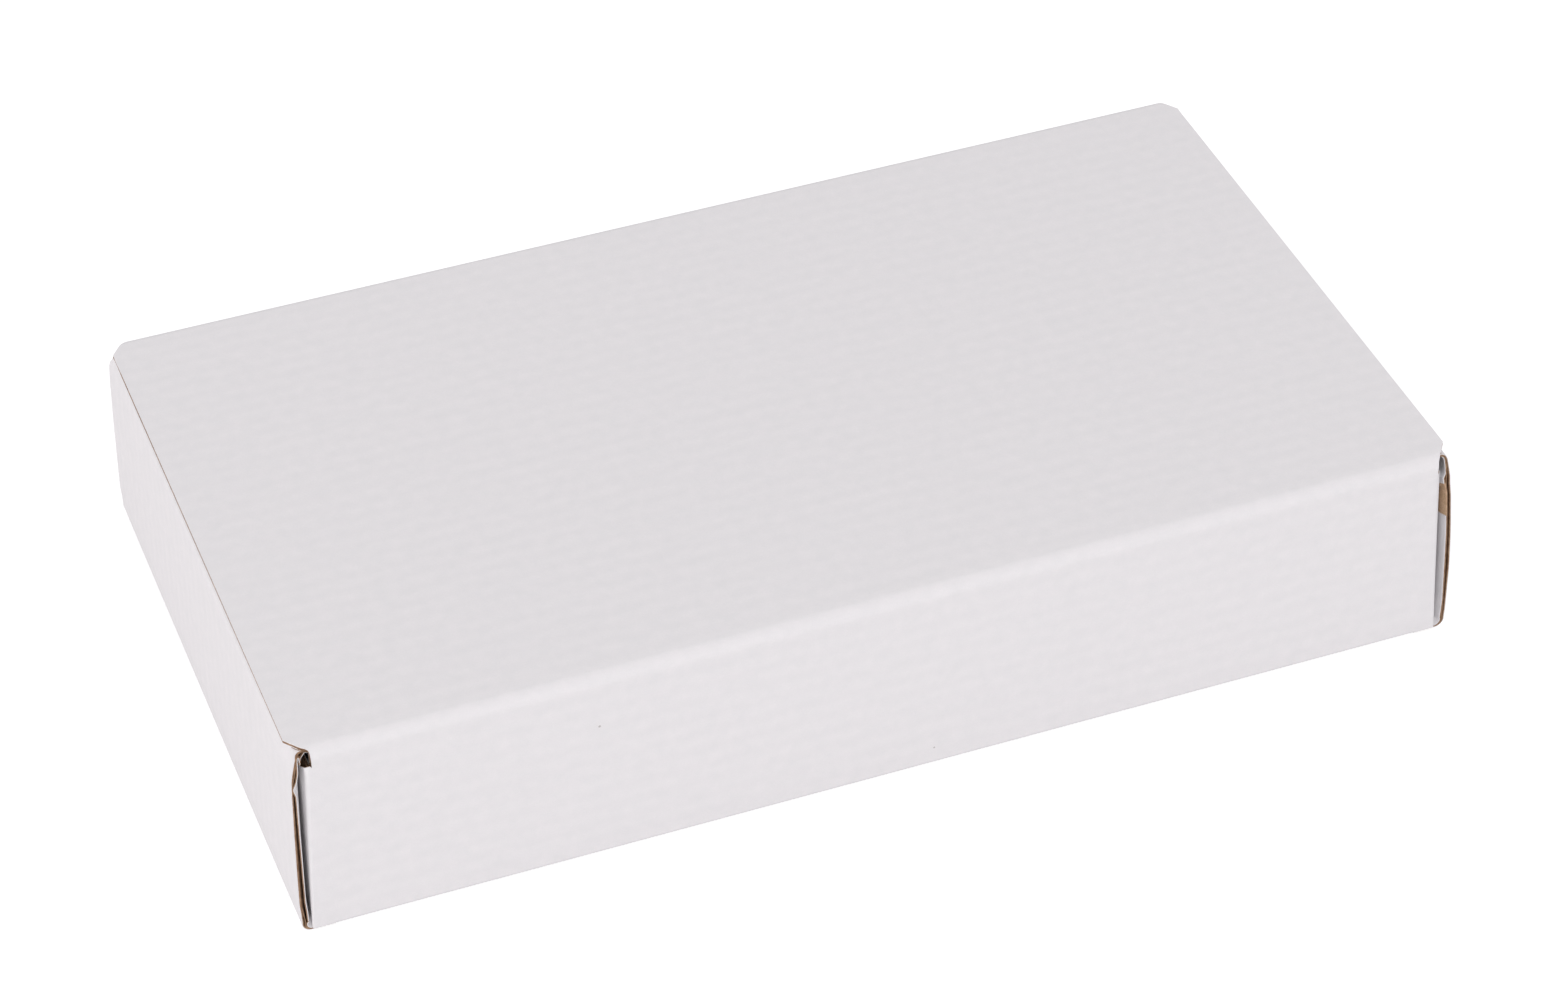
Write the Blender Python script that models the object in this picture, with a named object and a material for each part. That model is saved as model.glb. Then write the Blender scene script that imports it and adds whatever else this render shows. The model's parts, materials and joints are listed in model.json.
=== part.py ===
"""White corrugated tuck end box, closed, in metres.

The carton is one die-cut blank. Its tube lies on its bottom panel: bottom, front, top and back
panels folded along X, and a glue flap that rises from the bottom panel inside the back panel.
Each short end has an end panel that hinges on the bottom panel, with a tuck flap that slides in
under the top panel, and two dust flaps behind it. The origin is the middle of the underside,
X runs along the carton and the front panel faces -Y.
"""
import math

import bpy
from mathutils import Vector

MM = 0.001

# The carton as a whole, measured outside
BODY_LENGTH = 190.0 * MM        # over the folded dust flaps, behind the end panels
BODY_DEPTH = 110.0 * MM
BODY_HEIGHT = 36.0 * MM

# The board and its folds
BOARD = 1.5 * MM                # E-flute single wall
LONG_FOLD_INSIDE = 0.5 * MM     # inside radius of the folds along X
SHORT_FOLD_INSIDE = 0.2 * MM    # inside radius of the folds at the flaps
FIT_GAP = 0.3 * MM              # air between neighbours that touch on the real carton
RAW_EDGE_SETBACK = 0.3 * MM     # how far the end panels stay inside the front and back faces
END_LEAN = math.radians(1.5)    # the end panels lean in towards the top: the board springs out at the foot

# The top panel's ends
TOP_OVERHANG = 1.56 * MM        # past the dust flaps, so that it covers the end panels
TOP_CORNER_CUT = 4.1 * MM       # where the cut to the crease starts, from the front and back faces

# The tuck flaps
TUCK_LENGTH = 15.0 * MM
TUCK_SIDE_CLEARANCE = 0.8 * MM  # to the inside of the front and back panels
TUCK_CORNER_RADIUS = 9.0 * MM
TUCK_SLOPE = math.radians(9.0)  # the flap dips inwards, so that its edge clears the top panel

# The dust flaps
DUST_LENGTH = 32.0 * MM
DUST_FLOOR_CLEARANCE = 0.7 * MM
DUST_TUCK_CLEARANCE = 0.8 * MM  # from the tuck flap's fold down to the flap's shoulder
DUST_TAPER = math.radians(9.0)
DUST_CORNER_RADIUS = 4.0 * MM

# The glued seam at the rear
GLUE_FILM = 0.2 * MM
GLUE_FILM_GAP = 0.2 * MM        # air kept on each side of the film
GLUE_FLAP_HEIGHT = 26.0 * MM
GLUE_FLAP_INSET = 12.0 * MM     # from the dust flaps to the foot of the flap's slanted end
GLUE_FLAP_SLANT = 8.0 * MM
GLUE_BAND_HEIGHT = 12.0 * MM
GLUE_BAND_MARGIN = 9.0 * MM     # from the ends of the flap's top edge

FOLD_STEPS = 7
CORNER_STEPS = 6

# What follows from them
HALF_LENGTH = BODY_LENGTH / 2
HALF_DEPTH = BODY_DEPTH / 2
LONG_FOLD = BOARD + LONG_FOLD_INSIDE
SHORT_FOLD = BOARD + SHORT_FOLD_INSIDE
WALL_END = HALF_LENGTH - SHORT_FOLD - FIT_GAP       # where the front and back panels stop
END_HALF_WIDTH = HALF_DEPTH - RAW_EDGE_SETBACK
TUCK_TOP = BODY_HEIGHT - BOARD - FIT_GAP            # top of a tuck flap's fold
TUCK_PIVOT = TUCK_TOP - SHORT_FOLD
FOLDS_APART = TUCK_PIVOT - SHORT_FOLD               # height between an end panel's two folds
END_HEAD = HALF_LENGTH + FIT_GAP + BOARD            # outside of an end panel's fold at the top
END_FOOT = END_HEAD + FOLDS_APART * math.tan(END_LEAN)     # and at the bottom
SEAM_FACE = HALF_DEPTH - BOARD - GLUE_FILM - 2 * GLUE_FILM_GAP     # outer face of the glue flap
GLUE_FLAP_FOOT = HALF_LENGTH - GLUE_FLAP_INSET


def clear_scene():
    for item in list(bpy.data.objects):
        bpy.data.objects.remove(item, do_unlink=True)


def new_collection(name):
    collection = bpy.data.collections.new(name)
    bpy.context.scene.collection.children.link(collection)
    return collection


def new_material(name, colour, roughness):
    material = bpy.data.materials.new(name)
    material.use_nodes = True
    shader = material.node_tree.nodes["Principled BSDF"]
    shader.inputs["Base Color"].default_value = (*colour, 1.0)
    shader.inputs["Roughness"].default_value = roughness
    shader.inputs["Metallic"].default_value = 0.0
    return material


def empty(name, place, parent=None, turn=0.0):
    """An empty on a joint's axis, or one that turns a whole end of the carton."""
    item = bpy.data.objects.new(name, None)
    item.empty_display_size = BOARD
    item.location = place
    item.rotation_euler = (0.0, 0.0, turn)
    item.parent = parent
    carton.objects.link(item)
    return item


def rounded(corners):
    """An outline from corners (x, y, radius), each round one as an arc."""
    points = []
    for index, (x, y, radius) in enumerate(corners):
        corner = Vector((x, y))
        if radius == 0:
            points.append(corner)
            continue
        before = (Vector(corners[index - 1][:2]) - corner).normalized()
        after = (Vector(corners[(index + 1) % len(corners)][:2]) - corner).normalized()
        half_angle = before.angle(after) / 2
        middle = corner + (before + after).normalized() * radius / math.sin(half_angle)
        first = corner + before * radius / math.tan(half_angle) - middle
        last = corner + after * radius / math.tan(half_angle) - middle
        sweep = first.angle_signed(last)
        for step in range(CORNER_STEPS + 1):
            turn = -sweep * step / CORNER_STEPS
            spoke = Vector((first.x * math.cos(turn) - first.y * math.sin(turn),
                            first.x * math.sin(turn) + first.y * math.cos(turn)))
            points.append(middle + spoke)
    return points


def fold_outline(inside, outside, start, end):
    """A fold's section round the origin, between two angles counted from +X towards +Y."""
    angles = [start + (end - start) * step / FOLD_STEPS for step in range(FOLD_STEPS + 1)]
    outer = [(outside * math.cos(a), outside * math.sin(a)) for a in angles]
    inner = [(inside * math.cos(a), inside * math.sin(a)) for a in reversed(angles)]
    return outer + inner


def slab(name, outline, thickness, colour, place, turn=(0.0, 0.0, 0.0), parent=None):
    """A flat closed outline in its own XY plane, given a thickness along its own Z."""
    curve = bpy.data.curves.new(name, "CURVE")
    curve.dimensions = "2D"
    curve.fill_mode = "BOTH"
    curve.extrude = thickness / 2
    spline = curve.splines.new("POLY")
    spline.points.add(len(outline) - 1)
    for point, (x, y) in zip(spline.points, outline):
        point.co = (x, y, 0.0, 1.0)
    spline.use_cyclic_u = True
    item = bpy.data.objects.new(name, curve)
    item.location = place
    item.rotation_euler = turn
    item.parent = parent
    curve.materials.append(new_material(name, *colour))
    carton.objects.link(item)
    return item


def box_outline(low_x, high_x, low_y, high_y):
    return [(low_x, low_y), (high_x, low_y), (high_x, high_y), (low_x, high_y)]


QUARTER = math.radians(90.0)
FACING_FRONT = (QUARTER, 0.0, 0.0)          # own X along X, own Y up
FACING_END = (QUARTER, 0.0, QUARTER)        # own X along Y, own Y up
ACROSS = (QUARTER, 0.0, QUARTER)            # a section in the YZ plane, drawn out along X
WHITE_LINER = ((0.74, 0.73, 0.735), 0.75)
GLUE = ((0.80, 0.78, 0.70), 0.4)


def top_panel():
    """The cover: it reaches over the end panels, and its corners are cut back to the creases."""
    flat_end = HALF_DEPTH - LONG_FOLD - FIT_GAP
    raw_edge = HALF_LENGTH + TOP_OVERHANG
    cut_start = HALF_DEPTH - TOP_CORNER_CUT
    cut_run = raw_edge - WALL_END
    cut_end = raw_edge - cut_run * (flat_end - cut_start) / TOP_CORNER_CUT
    corner = [(raw_edge, cut_start), (cut_end, flat_end)]
    rear = corner + [(-x, y) for x, y in reversed(corner)]
    outline = rear + [(x, -y) for x, y in reversed(rear)]
    slab("top_panel", outline, BOARD, WHITE_LINER, (0.0, 0.0, BODY_HEIGHT - BOARD / 2))


def bottom_panel():
    """The base. A tab of full width at each end carries the end panel's crease.

    Its rear edge steps in along the glue flap's crease, and runs close to the back panel beside it.
    """
    front = -(HALF_DEPTH - LONG_FOLD - FIT_GAP)
    tab_start = WALL_END + FIT_GAP
    tab_end = END_FOOT - SHORT_FOLD - FIT_GAP
    step = GLUE_FLAP_FOOT + FIT_GAP
    side = [(tab_start, front), (tab_start, -END_HALF_WIDTH), (tab_end, -END_HALF_WIDTH),
            (tab_end, END_HALF_WIDTH), (tab_start, END_HALF_WIDTH), (tab_start, SEAM_FACE),
            (step, SEAM_FACE), (step, SEAM_FACE - SHORT_FOLD - FIT_GAP)]
    outline = side + [(-x, y) for x, y in reversed(side)]
    slab("bottom_panel", outline, BOARD, WHITE_LINER, (0.0, 0.0, BOARD / 2))


def front_and_back_panels():
    fold_end = LONG_FOLD + FIT_GAP
    middle = HALF_DEPTH - BOARD / 2
    front = box_outline(-WALL_END, WALL_END, fold_end, BODY_HEIGHT - fold_end)
    slab("front_panel", front, BOARD, WHITE_LINER, (0.0, -middle, 0.0), FACING_FRONT)
    back = box_outline(-WALL_END, WALL_END, FIT_GAP, BODY_HEIGHT - fold_end)
    slab("back_panel", back, BOARD, WHITE_LINER, (0.0, middle, 0.0), FACING_FRONT)


def long_creases():
    """The three folds along X that stay folded: top to front, front to bottom and top to back."""
    centre_y = HALF_DEPTH - LONG_FOLD
    high = BODY_HEIGHT - LONG_FOLD
    places = [("front_top_crease", -centre_y, high, QUARTER), ("back_top_crease", centre_y, high, 0.0),
              ("front_bottom_crease", -centre_y, LONG_FOLD, 2 * QUARTER)]
    for name, y, z, start in places:
        outline = fold_outline(LONG_FOLD_INSIDE, LONG_FOLD, start, start + QUARTER)
        slab(name, outline, 2 * WALL_END, WHITE_LINER, (0.0, y, z), ACROSS)


def glued_seam():
    """The flap that rises from the bottom panel's rear crease, and the glue that holds it to the back."""
    foot = GLUE_FLAP_FOOT
    head = foot - GLUE_FLAP_SLANT
    crease = fold_outline(SHORT_FOLD_INSIDE, SHORT_FOLD, -QUARTER, 0.0)
    slab("glue_flap_crease", crease, 2 * foot, WHITE_LINER, (0.0, SEAM_FACE - SHORT_FOLD, SHORT_FOLD), ACROSS)
    low = SHORT_FOLD + FIT_GAP
    flap = [(-foot, low), (foot, low), (head, GLUE_FLAP_HEIGHT), (-head, GLUE_FLAP_HEIGHT)]
    slab("glue_flap", flap, BOARD, WHITE_LINER, (0.0, SEAM_FACE - BOARD / 2, 0.0), FACING_FRONT)
    band = head - GLUE_BAND_MARGIN
    band_low = (low + GLUE_FLAP_HEIGHT - GLUE_BAND_HEIGHT) / 2
    glue = box_outline(-band, band, band_low, band_low + GLUE_BAND_HEIGHT)
    film_place = (0.0, SEAM_FACE + GLUE_FILM_GAP + GLUE_FILM / 2, 0.0)
    slab("seam_glue", glue, GLUE_FILM, GLUE, film_place, FACING_FRONT)


def end_panel(side, frame):
    """The end closure: it hinges on the bottom panel, round the outer corner of its crease."""
    hinge = empty(side + "_end_hinge", (-END_FOOT, 0.0, 0.0), frame)
    crease = fold_outline(SHORT_FOLD_INSIDE, SHORT_FOLD, 2 * QUARTER - END_LEAN, 3 * QUARTER)
    slab(side + "_end_crease", crease, 2 * END_HALF_WIDTH, WHITE_LINER,
         (SHORT_FOLD, 0.0, SHORT_FOLD), FACING_FRONT, hinge)
    length = FOLDS_APART / math.cos(END_LEAN)
    face = box_outline(-END_HALF_WIDTH, END_HALF_WIDTH, FIT_GAP, length - FIT_GAP)
    out = SHORT_FOLD_INSIDE + BOARD / 2
    place = (SHORT_FOLD - out * math.cos(END_LEAN), 0.0, SHORT_FOLD + out * math.sin(END_LEAN))
    leaning = (QUARTER + END_LEAN, 0.0, QUARTER)
    slab(side + "_end_panel", face, BOARD, WHITE_LINER, place, leaning, hinge)
    return hinge


def tuck_flap(side, end_hinge):
    """The flap that slides in under the top panel. Its sides step in to pass between the walls."""
    hinge = empty(side + "_tuck_hinge", (END_FOOT - END_HEAD + SHORT_FOLD, 0.0, TUCK_PIVOT), end_hinge)
    crease = fold_outline(SHORT_FOLD_INSIDE, SHORT_FOLD, QUARTER - TUCK_SLOPE, 2 * QUARTER - END_LEAN)
    slab(side + "_tuck_crease", crease, 2 * END_HALF_WIDTH, WHITE_LINER, (0.0, 0.0, 0.0), FACING_FRONT, hinge)
    shoulder = HALF_DEPTH - BOARD - TUCK_SIDE_CLEARANCE
    step_in = END_HALF_WIDTH - shoulder
    corners = [(FIT_GAP, -END_HALF_WIDTH, 0), (FIT_GAP + step_in, -shoulder, 0),
               (TUCK_LENGTH, -shoulder, TUCK_CORNER_RADIUS), (TUCK_LENGTH, shoulder, TUCK_CORNER_RADIUS),
               (FIT_GAP + step_in, shoulder, 0), (FIT_GAP, END_HALF_WIDTH, 0)]
    height = SHORT_FOLD_INSIDE + BOARD / 2
    place = (height * math.sin(TUCK_SLOPE), 0.0, height * math.cos(TUCK_SLOPE))
    slab(side + "_tuck_flap", rounded(corners), BOARD, WHITE_LINER, place, (0.0, TUCK_SLOPE, 0.0), hinge)


def dust_flap(name, frame, wall):
    """A flap folded in from the front or back panel's end, shorter than the wall and tapered.

    wall is -1 for the wall at -Y of the end's own frame and 1 for the one at +Y.
    """
    low = BOARD + DUST_FLOOR_CLEARANCE
    high = TUCK_TOP - BOARD - DUST_TUCK_CLEARANCE
    pivot = (-(HALF_LENGTH - SHORT_FOLD), wall * (HALF_DEPTH - SHORT_FOLD), 0.0)
    hinge = empty(name + "_hinge", pivot, frame)
    start = (2 if wall < 0 else 1) * QUARTER
    crease = fold_outline(SHORT_FOLD_INSIDE, SHORT_FOLD, start, start + QUARTER)
    slab(name + "_crease", crease, high - low, WHITE_LINER, (0.0, 0.0, (low + high) / 2), parent=hinge)
    drop = DUST_LENGTH * math.tan(DUST_TAPER)
    corners = [(-wall * FIT_GAP, low, 0), (-wall * DUST_LENGTH, low, DUST_CORNER_RADIUS),
               (-wall * DUST_LENGTH, high - drop, DUST_CORNER_RADIUS), (-wall * FIT_GAP, high, 0)]
    middle = -(SHORT_FOLD_INSIDE + BOARD / 2)
    slab(name, rounded(corners), BOARD, WHITE_LINER, (middle, 0.0, 0.0), FACING_END, hinge)


clear_scene()
carton = new_collection("tuck_end_box")
bottom_panel()
front_and_back_panels()
top_panel()
long_creases()
glued_seam()
for end_side, end_turn in (("left", 0.0), ("right", math.pi)):
    end_frame = empty(end_side + "_end_frame", (0.0, 0.0, 0.0), turn=end_turn)
    tuck_flap(end_side, end_panel(end_side, end_frame))
    near, far = ("front", "back") if end_side == "left" else ("back", "front")
    dust_flap(f"{near}_{end_side}_dust_flap", end_frame, -1)
    dust_flap(f"{far}_{end_side}_dust_flap", end_frame, 1)
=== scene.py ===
import json
import math

import bmesh
import bpy
from mathutils import Matrix, Vector, noise
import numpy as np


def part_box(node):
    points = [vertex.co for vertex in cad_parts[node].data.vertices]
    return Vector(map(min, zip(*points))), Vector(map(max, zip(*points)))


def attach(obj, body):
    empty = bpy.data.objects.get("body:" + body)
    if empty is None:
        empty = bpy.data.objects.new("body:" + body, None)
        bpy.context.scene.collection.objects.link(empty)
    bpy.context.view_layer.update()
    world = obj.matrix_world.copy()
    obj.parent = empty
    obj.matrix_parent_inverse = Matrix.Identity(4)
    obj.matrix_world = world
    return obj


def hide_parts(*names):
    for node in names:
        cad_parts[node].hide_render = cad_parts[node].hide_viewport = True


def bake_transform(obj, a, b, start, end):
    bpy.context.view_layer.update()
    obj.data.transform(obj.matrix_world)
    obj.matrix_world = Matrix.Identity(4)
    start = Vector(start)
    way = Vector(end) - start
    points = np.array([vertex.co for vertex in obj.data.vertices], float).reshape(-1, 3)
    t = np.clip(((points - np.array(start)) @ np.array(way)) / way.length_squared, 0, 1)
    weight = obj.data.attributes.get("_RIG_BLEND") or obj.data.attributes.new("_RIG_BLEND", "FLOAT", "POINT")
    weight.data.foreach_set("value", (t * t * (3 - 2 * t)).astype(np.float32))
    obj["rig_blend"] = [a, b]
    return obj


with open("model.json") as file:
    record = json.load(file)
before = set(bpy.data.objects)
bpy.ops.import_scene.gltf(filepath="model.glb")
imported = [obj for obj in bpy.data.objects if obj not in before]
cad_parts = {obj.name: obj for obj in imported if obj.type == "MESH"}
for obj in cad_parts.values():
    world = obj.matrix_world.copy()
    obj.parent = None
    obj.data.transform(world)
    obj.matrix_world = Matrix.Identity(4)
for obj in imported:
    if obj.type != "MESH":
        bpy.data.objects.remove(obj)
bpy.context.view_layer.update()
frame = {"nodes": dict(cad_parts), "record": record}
MM = 0.001


# Camera: in front of the carton's left end, looking down on it through a long lens. It was fitted to
# the carton's straight edges.
CAMERA_AIM = Vector((0.85, -2.66, 18.0)) * MM
CAMERA_DISTANCE = 755.3 * MM
CAMERA_AZIMUTH = math.radians(20.07)
CAMERA_ELEVATION = math.radians(39.03)
CAMERA_ROLL = math.radians(-1.08)
CAMERA_LENS = 105.83

scene = bpy.context.scene
scene.view_settings.view_transform = "Standard"
forward = Vector((math.sin(CAMERA_AZIMUTH) * math.cos(CAMERA_ELEVATION),
                  math.cos(CAMERA_AZIMUTH) * math.cos(CAMERA_ELEVATION),
                  -math.sin(CAMERA_ELEVATION)))
sideways = Vector((math.cos(CAMERA_AZIMUTH), -math.sin(CAMERA_AZIMUTH), 0.0))
level = Matrix((sideways, sideways.cross(forward), -forward)).transposed()
camera_data = bpy.data.cameras.new("camera")
camera_data.lens = CAMERA_LENS
camera_data.sensor_width = 36.0
camera_data.clip_start = 0.05
camera = bpy.data.objects.new("camera", camera_data)
camera.matrix_world = (Matrix.Translation(CAMERA_AIM - forward * CAMERA_DISTANCE) @ level.to_4x4()
                       @ Matrix.Rotation(CAMERA_ROLL, 4, "Z"))
scene.collection.objects.link(camera)
scene.camera = camera


# Studio: an even world, a wide soft lamp from the left, one from the front and a weak one behind.
# What the camera sees of the world is white, and the floor keeps the carton's soft shadow.
WORLD_STRENGTH = 0.645
LEFT_TINT = (1.0, 0.965, 0.972)
FRONT_TINT = (1.0, 0.985, 1.0)
REAR_TINT = (0.985, 0.99, 1.0)
FLOOR_DROP = 0.02 * MM                  # keeps the floor clear of the carton's lower face


def srgb(red, green, blue):
    """A colour given in 0 to 255 as it looks on a screen, as linear values."""
    shares = [value / 255 for value in (red, green, blue)]
    return tuple(s / 12.92 if s <= 0.04045 else ((s + 0.055) / 1.055) ** 2.4 for s in shares)


world = bpy.data.worlds.new("studio")
scene.world = world
world.use_nodes = True
nodes, links = world.node_tree.nodes, world.node_tree.links
nodes["Background"].inputs["Color"].default_value = (0.99, 0.985, 1.0, 1.0)
nodes["Background"].inputs["Strength"].default_value = WORLD_STRENGTH
seen = nodes.new("ShaderNodeBackground")
seen.inputs["Color"].default_value = (1.0, 1.0, 1.0, 1.0)
rays = nodes.new("ShaderNodeLightPath")
either = nodes.new("ShaderNodeMath")
either.operation = "MAXIMUM"
mix = nodes.new("ShaderNodeMixShader")
links.new(rays.outputs["Is Camera Ray"], either.inputs[0])
links.new(rays.outputs["Is Transmission Ray"], either.inputs[1])
links.new(either.outputs[0], mix.inputs["Fac"])
links.new(nodes["Background"].outputs[0], mix.inputs[1])
links.new(seen.outputs[0], mix.inputs[2])
links.new(mix.outputs[0], nodes["World Output"].inputs["Surface"])


def soft_lamp(name, azimuth, elevation, distance, width, power, tint):
    """A square soft lamp that points at the carton; azimuth 0 stands in front, 90 at the left."""
    lamp_data = bpy.data.lights.new(name, "AREA")
    lamp_data.size = width
    lamp_data.energy = power
    lamp_data.color = tint
    lamp = bpy.data.objects.new(name, lamp_data)
    turn, rise = math.radians(azimuth), math.radians(elevation)
    away = Vector((-math.sin(turn) * math.cos(rise), -math.cos(turn) * math.cos(rise), math.sin(rise)))
    lamp.location = away * distance
    lamp.rotation_euler = away.to_track_quat("Z", "Y").to_euler()
    scene.collection.objects.link(lamp)


soft_lamp("left_lamp", 80.0, 24.0, 1.7, 1.4, 11.3, LEFT_TINT)
soft_lamp("front_lamp", -8.0, 30.0, 1.8, 1.4, 10.4, FRONT_TINT)
soft_lamp("rear_lamp", 230.0, 45.0, 1.8, 1.6, 3.0, REAR_TINT)

bpy.ops.object.select_all(action="DESELECT")
bpy.ops.mesh.primitive_grid_add(x_subdivisions=8, y_subdivisions=8, size=6.0,
                                location=(0.0, 0.0, -FLOOR_DROP))
floor = bpy.context.object
floor.name = "floor"
floor_paper = bpy.data.materials.new("studio_floor")
floor_paper.use_nodes = True
nodes, links = floor_paper.node_tree.nodes, floor_paper.node_tree.links
nodes["Principled BSDF"].inputs["Base Color"].default_value = (0.84, 0.84, 0.84, 1.0)
nodes["Principled BSDF"].inputs["Roughness"].default_value = 0.9
nodes["Principled BSDF"].inputs["Specular IOR Level"].default_value = 0.1
pale = nodes.new("ShaderNodeBsdfDiffuse")
pale.inputs["Color"].default_value = (0.4, 0.4, 0.4, 1.0)
glow = nodes.new("ShaderNodeEmission")
glow.inputs["Strength"].default_value = 0.74
both = nodes.new("ShaderNodeAddShader")
rays = nodes.new("ShaderNodeLightPath")
mix = nodes.new("ShaderNodeMixShader")
links.new(pale.outputs[0], both.inputs[0])
links.new(glow.outputs[0], both.inputs[1])
links.new(rays.outputs["Is Camera Ray"], mix.inputs["Fac"])
links.new(nodes["Principled BSDF"].outputs[0], mix.inputs[1])
links.new(both.outputs[0], mix.inputs[2])
links.new(mix.outputs[0], nodes["Material Output"].inputs["Surface"])
floor.data.materials.append(floor_paper)


# Outer liner of the tube: one sheet of white-topped kraft paper that runs from the back panel's raw
# edge over the top, down the front, along the bottom and up into the glue flap, creased four times.
# Its ends are die-cut, and the knife has crushed them.
front_low, front_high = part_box("front_panel")
back_low, back_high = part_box("back_panel")
top_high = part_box("top_panel")[1]
dust_fold_low, dust_fold_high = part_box("front_left_dust_flap_crease")
long_fold_low, long_fold_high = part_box("front_top_crease")
glue_low, glue_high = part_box("glue_flap")
BOARD = front_high.y - front_low.y
DEPTH_HALF = back_high.y
HEIGHT = top_high.z
LONG_FOLD = long_fold_high.z - long_fold_low.z              # outer radius of the folds along X
SHORT_FOLD = dust_fold_high.x - dust_fold_low.x             # and of the folds at the flaps
BOTTOM_FOLD = 0.7 * MM                                      # the fold that the carton stands on is sharp
DUST_FOLD_X = -dust_fold_high.x                             # where the dust flaps start to turn in
WALL_END = DUST_FOLD_X - 1.3 * MM                           # their creases' papers begin before that
TOP_END = top_high.x - 0.19 * MM
CUT_START = DEPTH_HALF - 4.1 * MM                           # corner cut, from the top's raw edge
CUT_REACH = {-1: ((0, 94.75), (16, 94.2), (28, 93.5), (40, 93.3), (90, 93.27)),
             1: ((0, 94.95), (16, 94.54), (52, 93.85), (90, 93.65))}    # by degrees round the fold, mm
RELIEF_FOOT = 32.7 * MM                                     # the dust flap starts under this height
RELIEF_STEP = 0.03 * MM
GLUE_FACE = glue_high.y
GLUE_FOOT = -glue_low.x
GLUE_HEAD = GLUE_FOOT - 8.0 * MM                            # the glue flap is shorter at its upper edge
WHITE_PLY = 0.11 * MM
KRAFT_PLY = 0.17 * MM
LINER = WHITE_PLY + KRAFT_PLY
FLUTE_PITCH = 3.315 * MM
FOLD_LEAD = math.radians(1.5)                               # first and last step of a fold
FOLD_STEPS = 8                                              # and the even steps between them
GLUE_FOLD_STEPS = 6
TOP_ROWS = [2.0 * MM, 4.0 * MM]                             # rows beside the corner cuts
TUBE_END_ROWS = [x * MM for x in (95.95, 95.4, 94.5, 93.3, 91.8, 89.0)]    # rows for the crushed ends
WOBBLE_SIZE = 0.05 * MM                                     # of a cut edge, and the length of its waves
WOBBLE_LENGTH = 3.1 * MM
WOBBLE_SEED = 3.0
SHARP_ANGLE = math.radians(35.0)                            # edges that bend more stay sharp
RUN_DIGITS = 7                                              # of the runs, where rows are told apart
CUT_SLACK = 0.001 * MM                                      # a cut goes through points this near to it
MERGE_SLACK = 0.002 * MM                                    # points this near to each other become one
SLACK = 0.01 * MM                                           # how exactly a point's place is compared
WIDE_SLACK = 0.1 * MM                                       # the same, where the next points are far
WHITE_A = srgb(231, 228.3, 229.5)
WHITE_B = srgb(226, 224.3, 225.5)
KRAFT_A = srgb(178, 148, 122)
KRAFT_B = srgb(128, 98, 74)


def node_group(name, inputs, outputs):
    """A shader node group with float or vector sockets, and its two end nodes."""
    group = bpy.data.node_groups.new(name, "ShaderNodeTree")
    for socket, kind, value in inputs:
        made = group.interface.new_socket(name=socket, in_out="INPUT", socket_type=kind)
        if value is not None:
            made.default_value = value
    for socket in outputs:
        group.interface.new_socket(name=socket, in_out="OUTPUT", socket_type="NodeSocketFloat")
    return group, group.nodes.new("NodeGroupInput"), group.nodes.new("NodeGroupOutput")


def add_node(tree, kind, **settings):
    made = tree.nodes.new("ShaderNode" + kind)
    for key, value in settings.items():
        setattr(made, key, value)
    return made


def paper_fibre_group():
    """Paper's cloudy formation, its fine fibres and its few dark specks, in metres."""
    group, ends, out = node_group(
        "paper_fibre",
        [("Vector", "NodeSocketVector", None), ("Cloud Scale", "NodeSocketFloat", 420.0),
         ("Fibre Scale", "NodeSocketFloat", 4200.0), ("Speck Scale", "NodeSocketFloat", 55.0)],
        ["Cloud", "Fibre", "Speck"])
    link = group.links.new
    cloud = add_node(group, "TexNoise")
    cloud.inputs["Detail"].default_value = 4.0
    cloud.inputs["Roughness"].default_value = 0.62
    link(ends.outputs["Vector"], cloud.inputs["Vector"])
    link(ends.outputs["Cloud Scale"], cloud.inputs["Scale"])
    link(cloud.outputs["Fac"], out.inputs["Cloud"])
    fibre = add_node(group, "TexNoise")
    fibre.inputs["Detail"].default_value = 2.0
    fibre.inputs["Distortion"].default_value = 0.6
    link(ends.outputs["Vector"], fibre.inputs["Vector"])
    link(ends.outputs["Fibre Scale"], fibre.inputs["Scale"])
    link(fibre.outputs["Fac"], out.inputs["Fibre"])
    cells = add_node(group, "TexVoronoi")
    link(ends.outputs["Vector"], cells.inputs["Vector"])
    link(ends.outputs["Speck Scale"], cells.inputs["Scale"])
    dot = add_node(group, "Math", operation="LESS_THAN")
    dot.inputs[1].default_value = 0.014
    link(cells.outputs["Distance"], dot.inputs[0])
    link(dot.outputs[0], out.inputs["Speck"])
    return group


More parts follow.
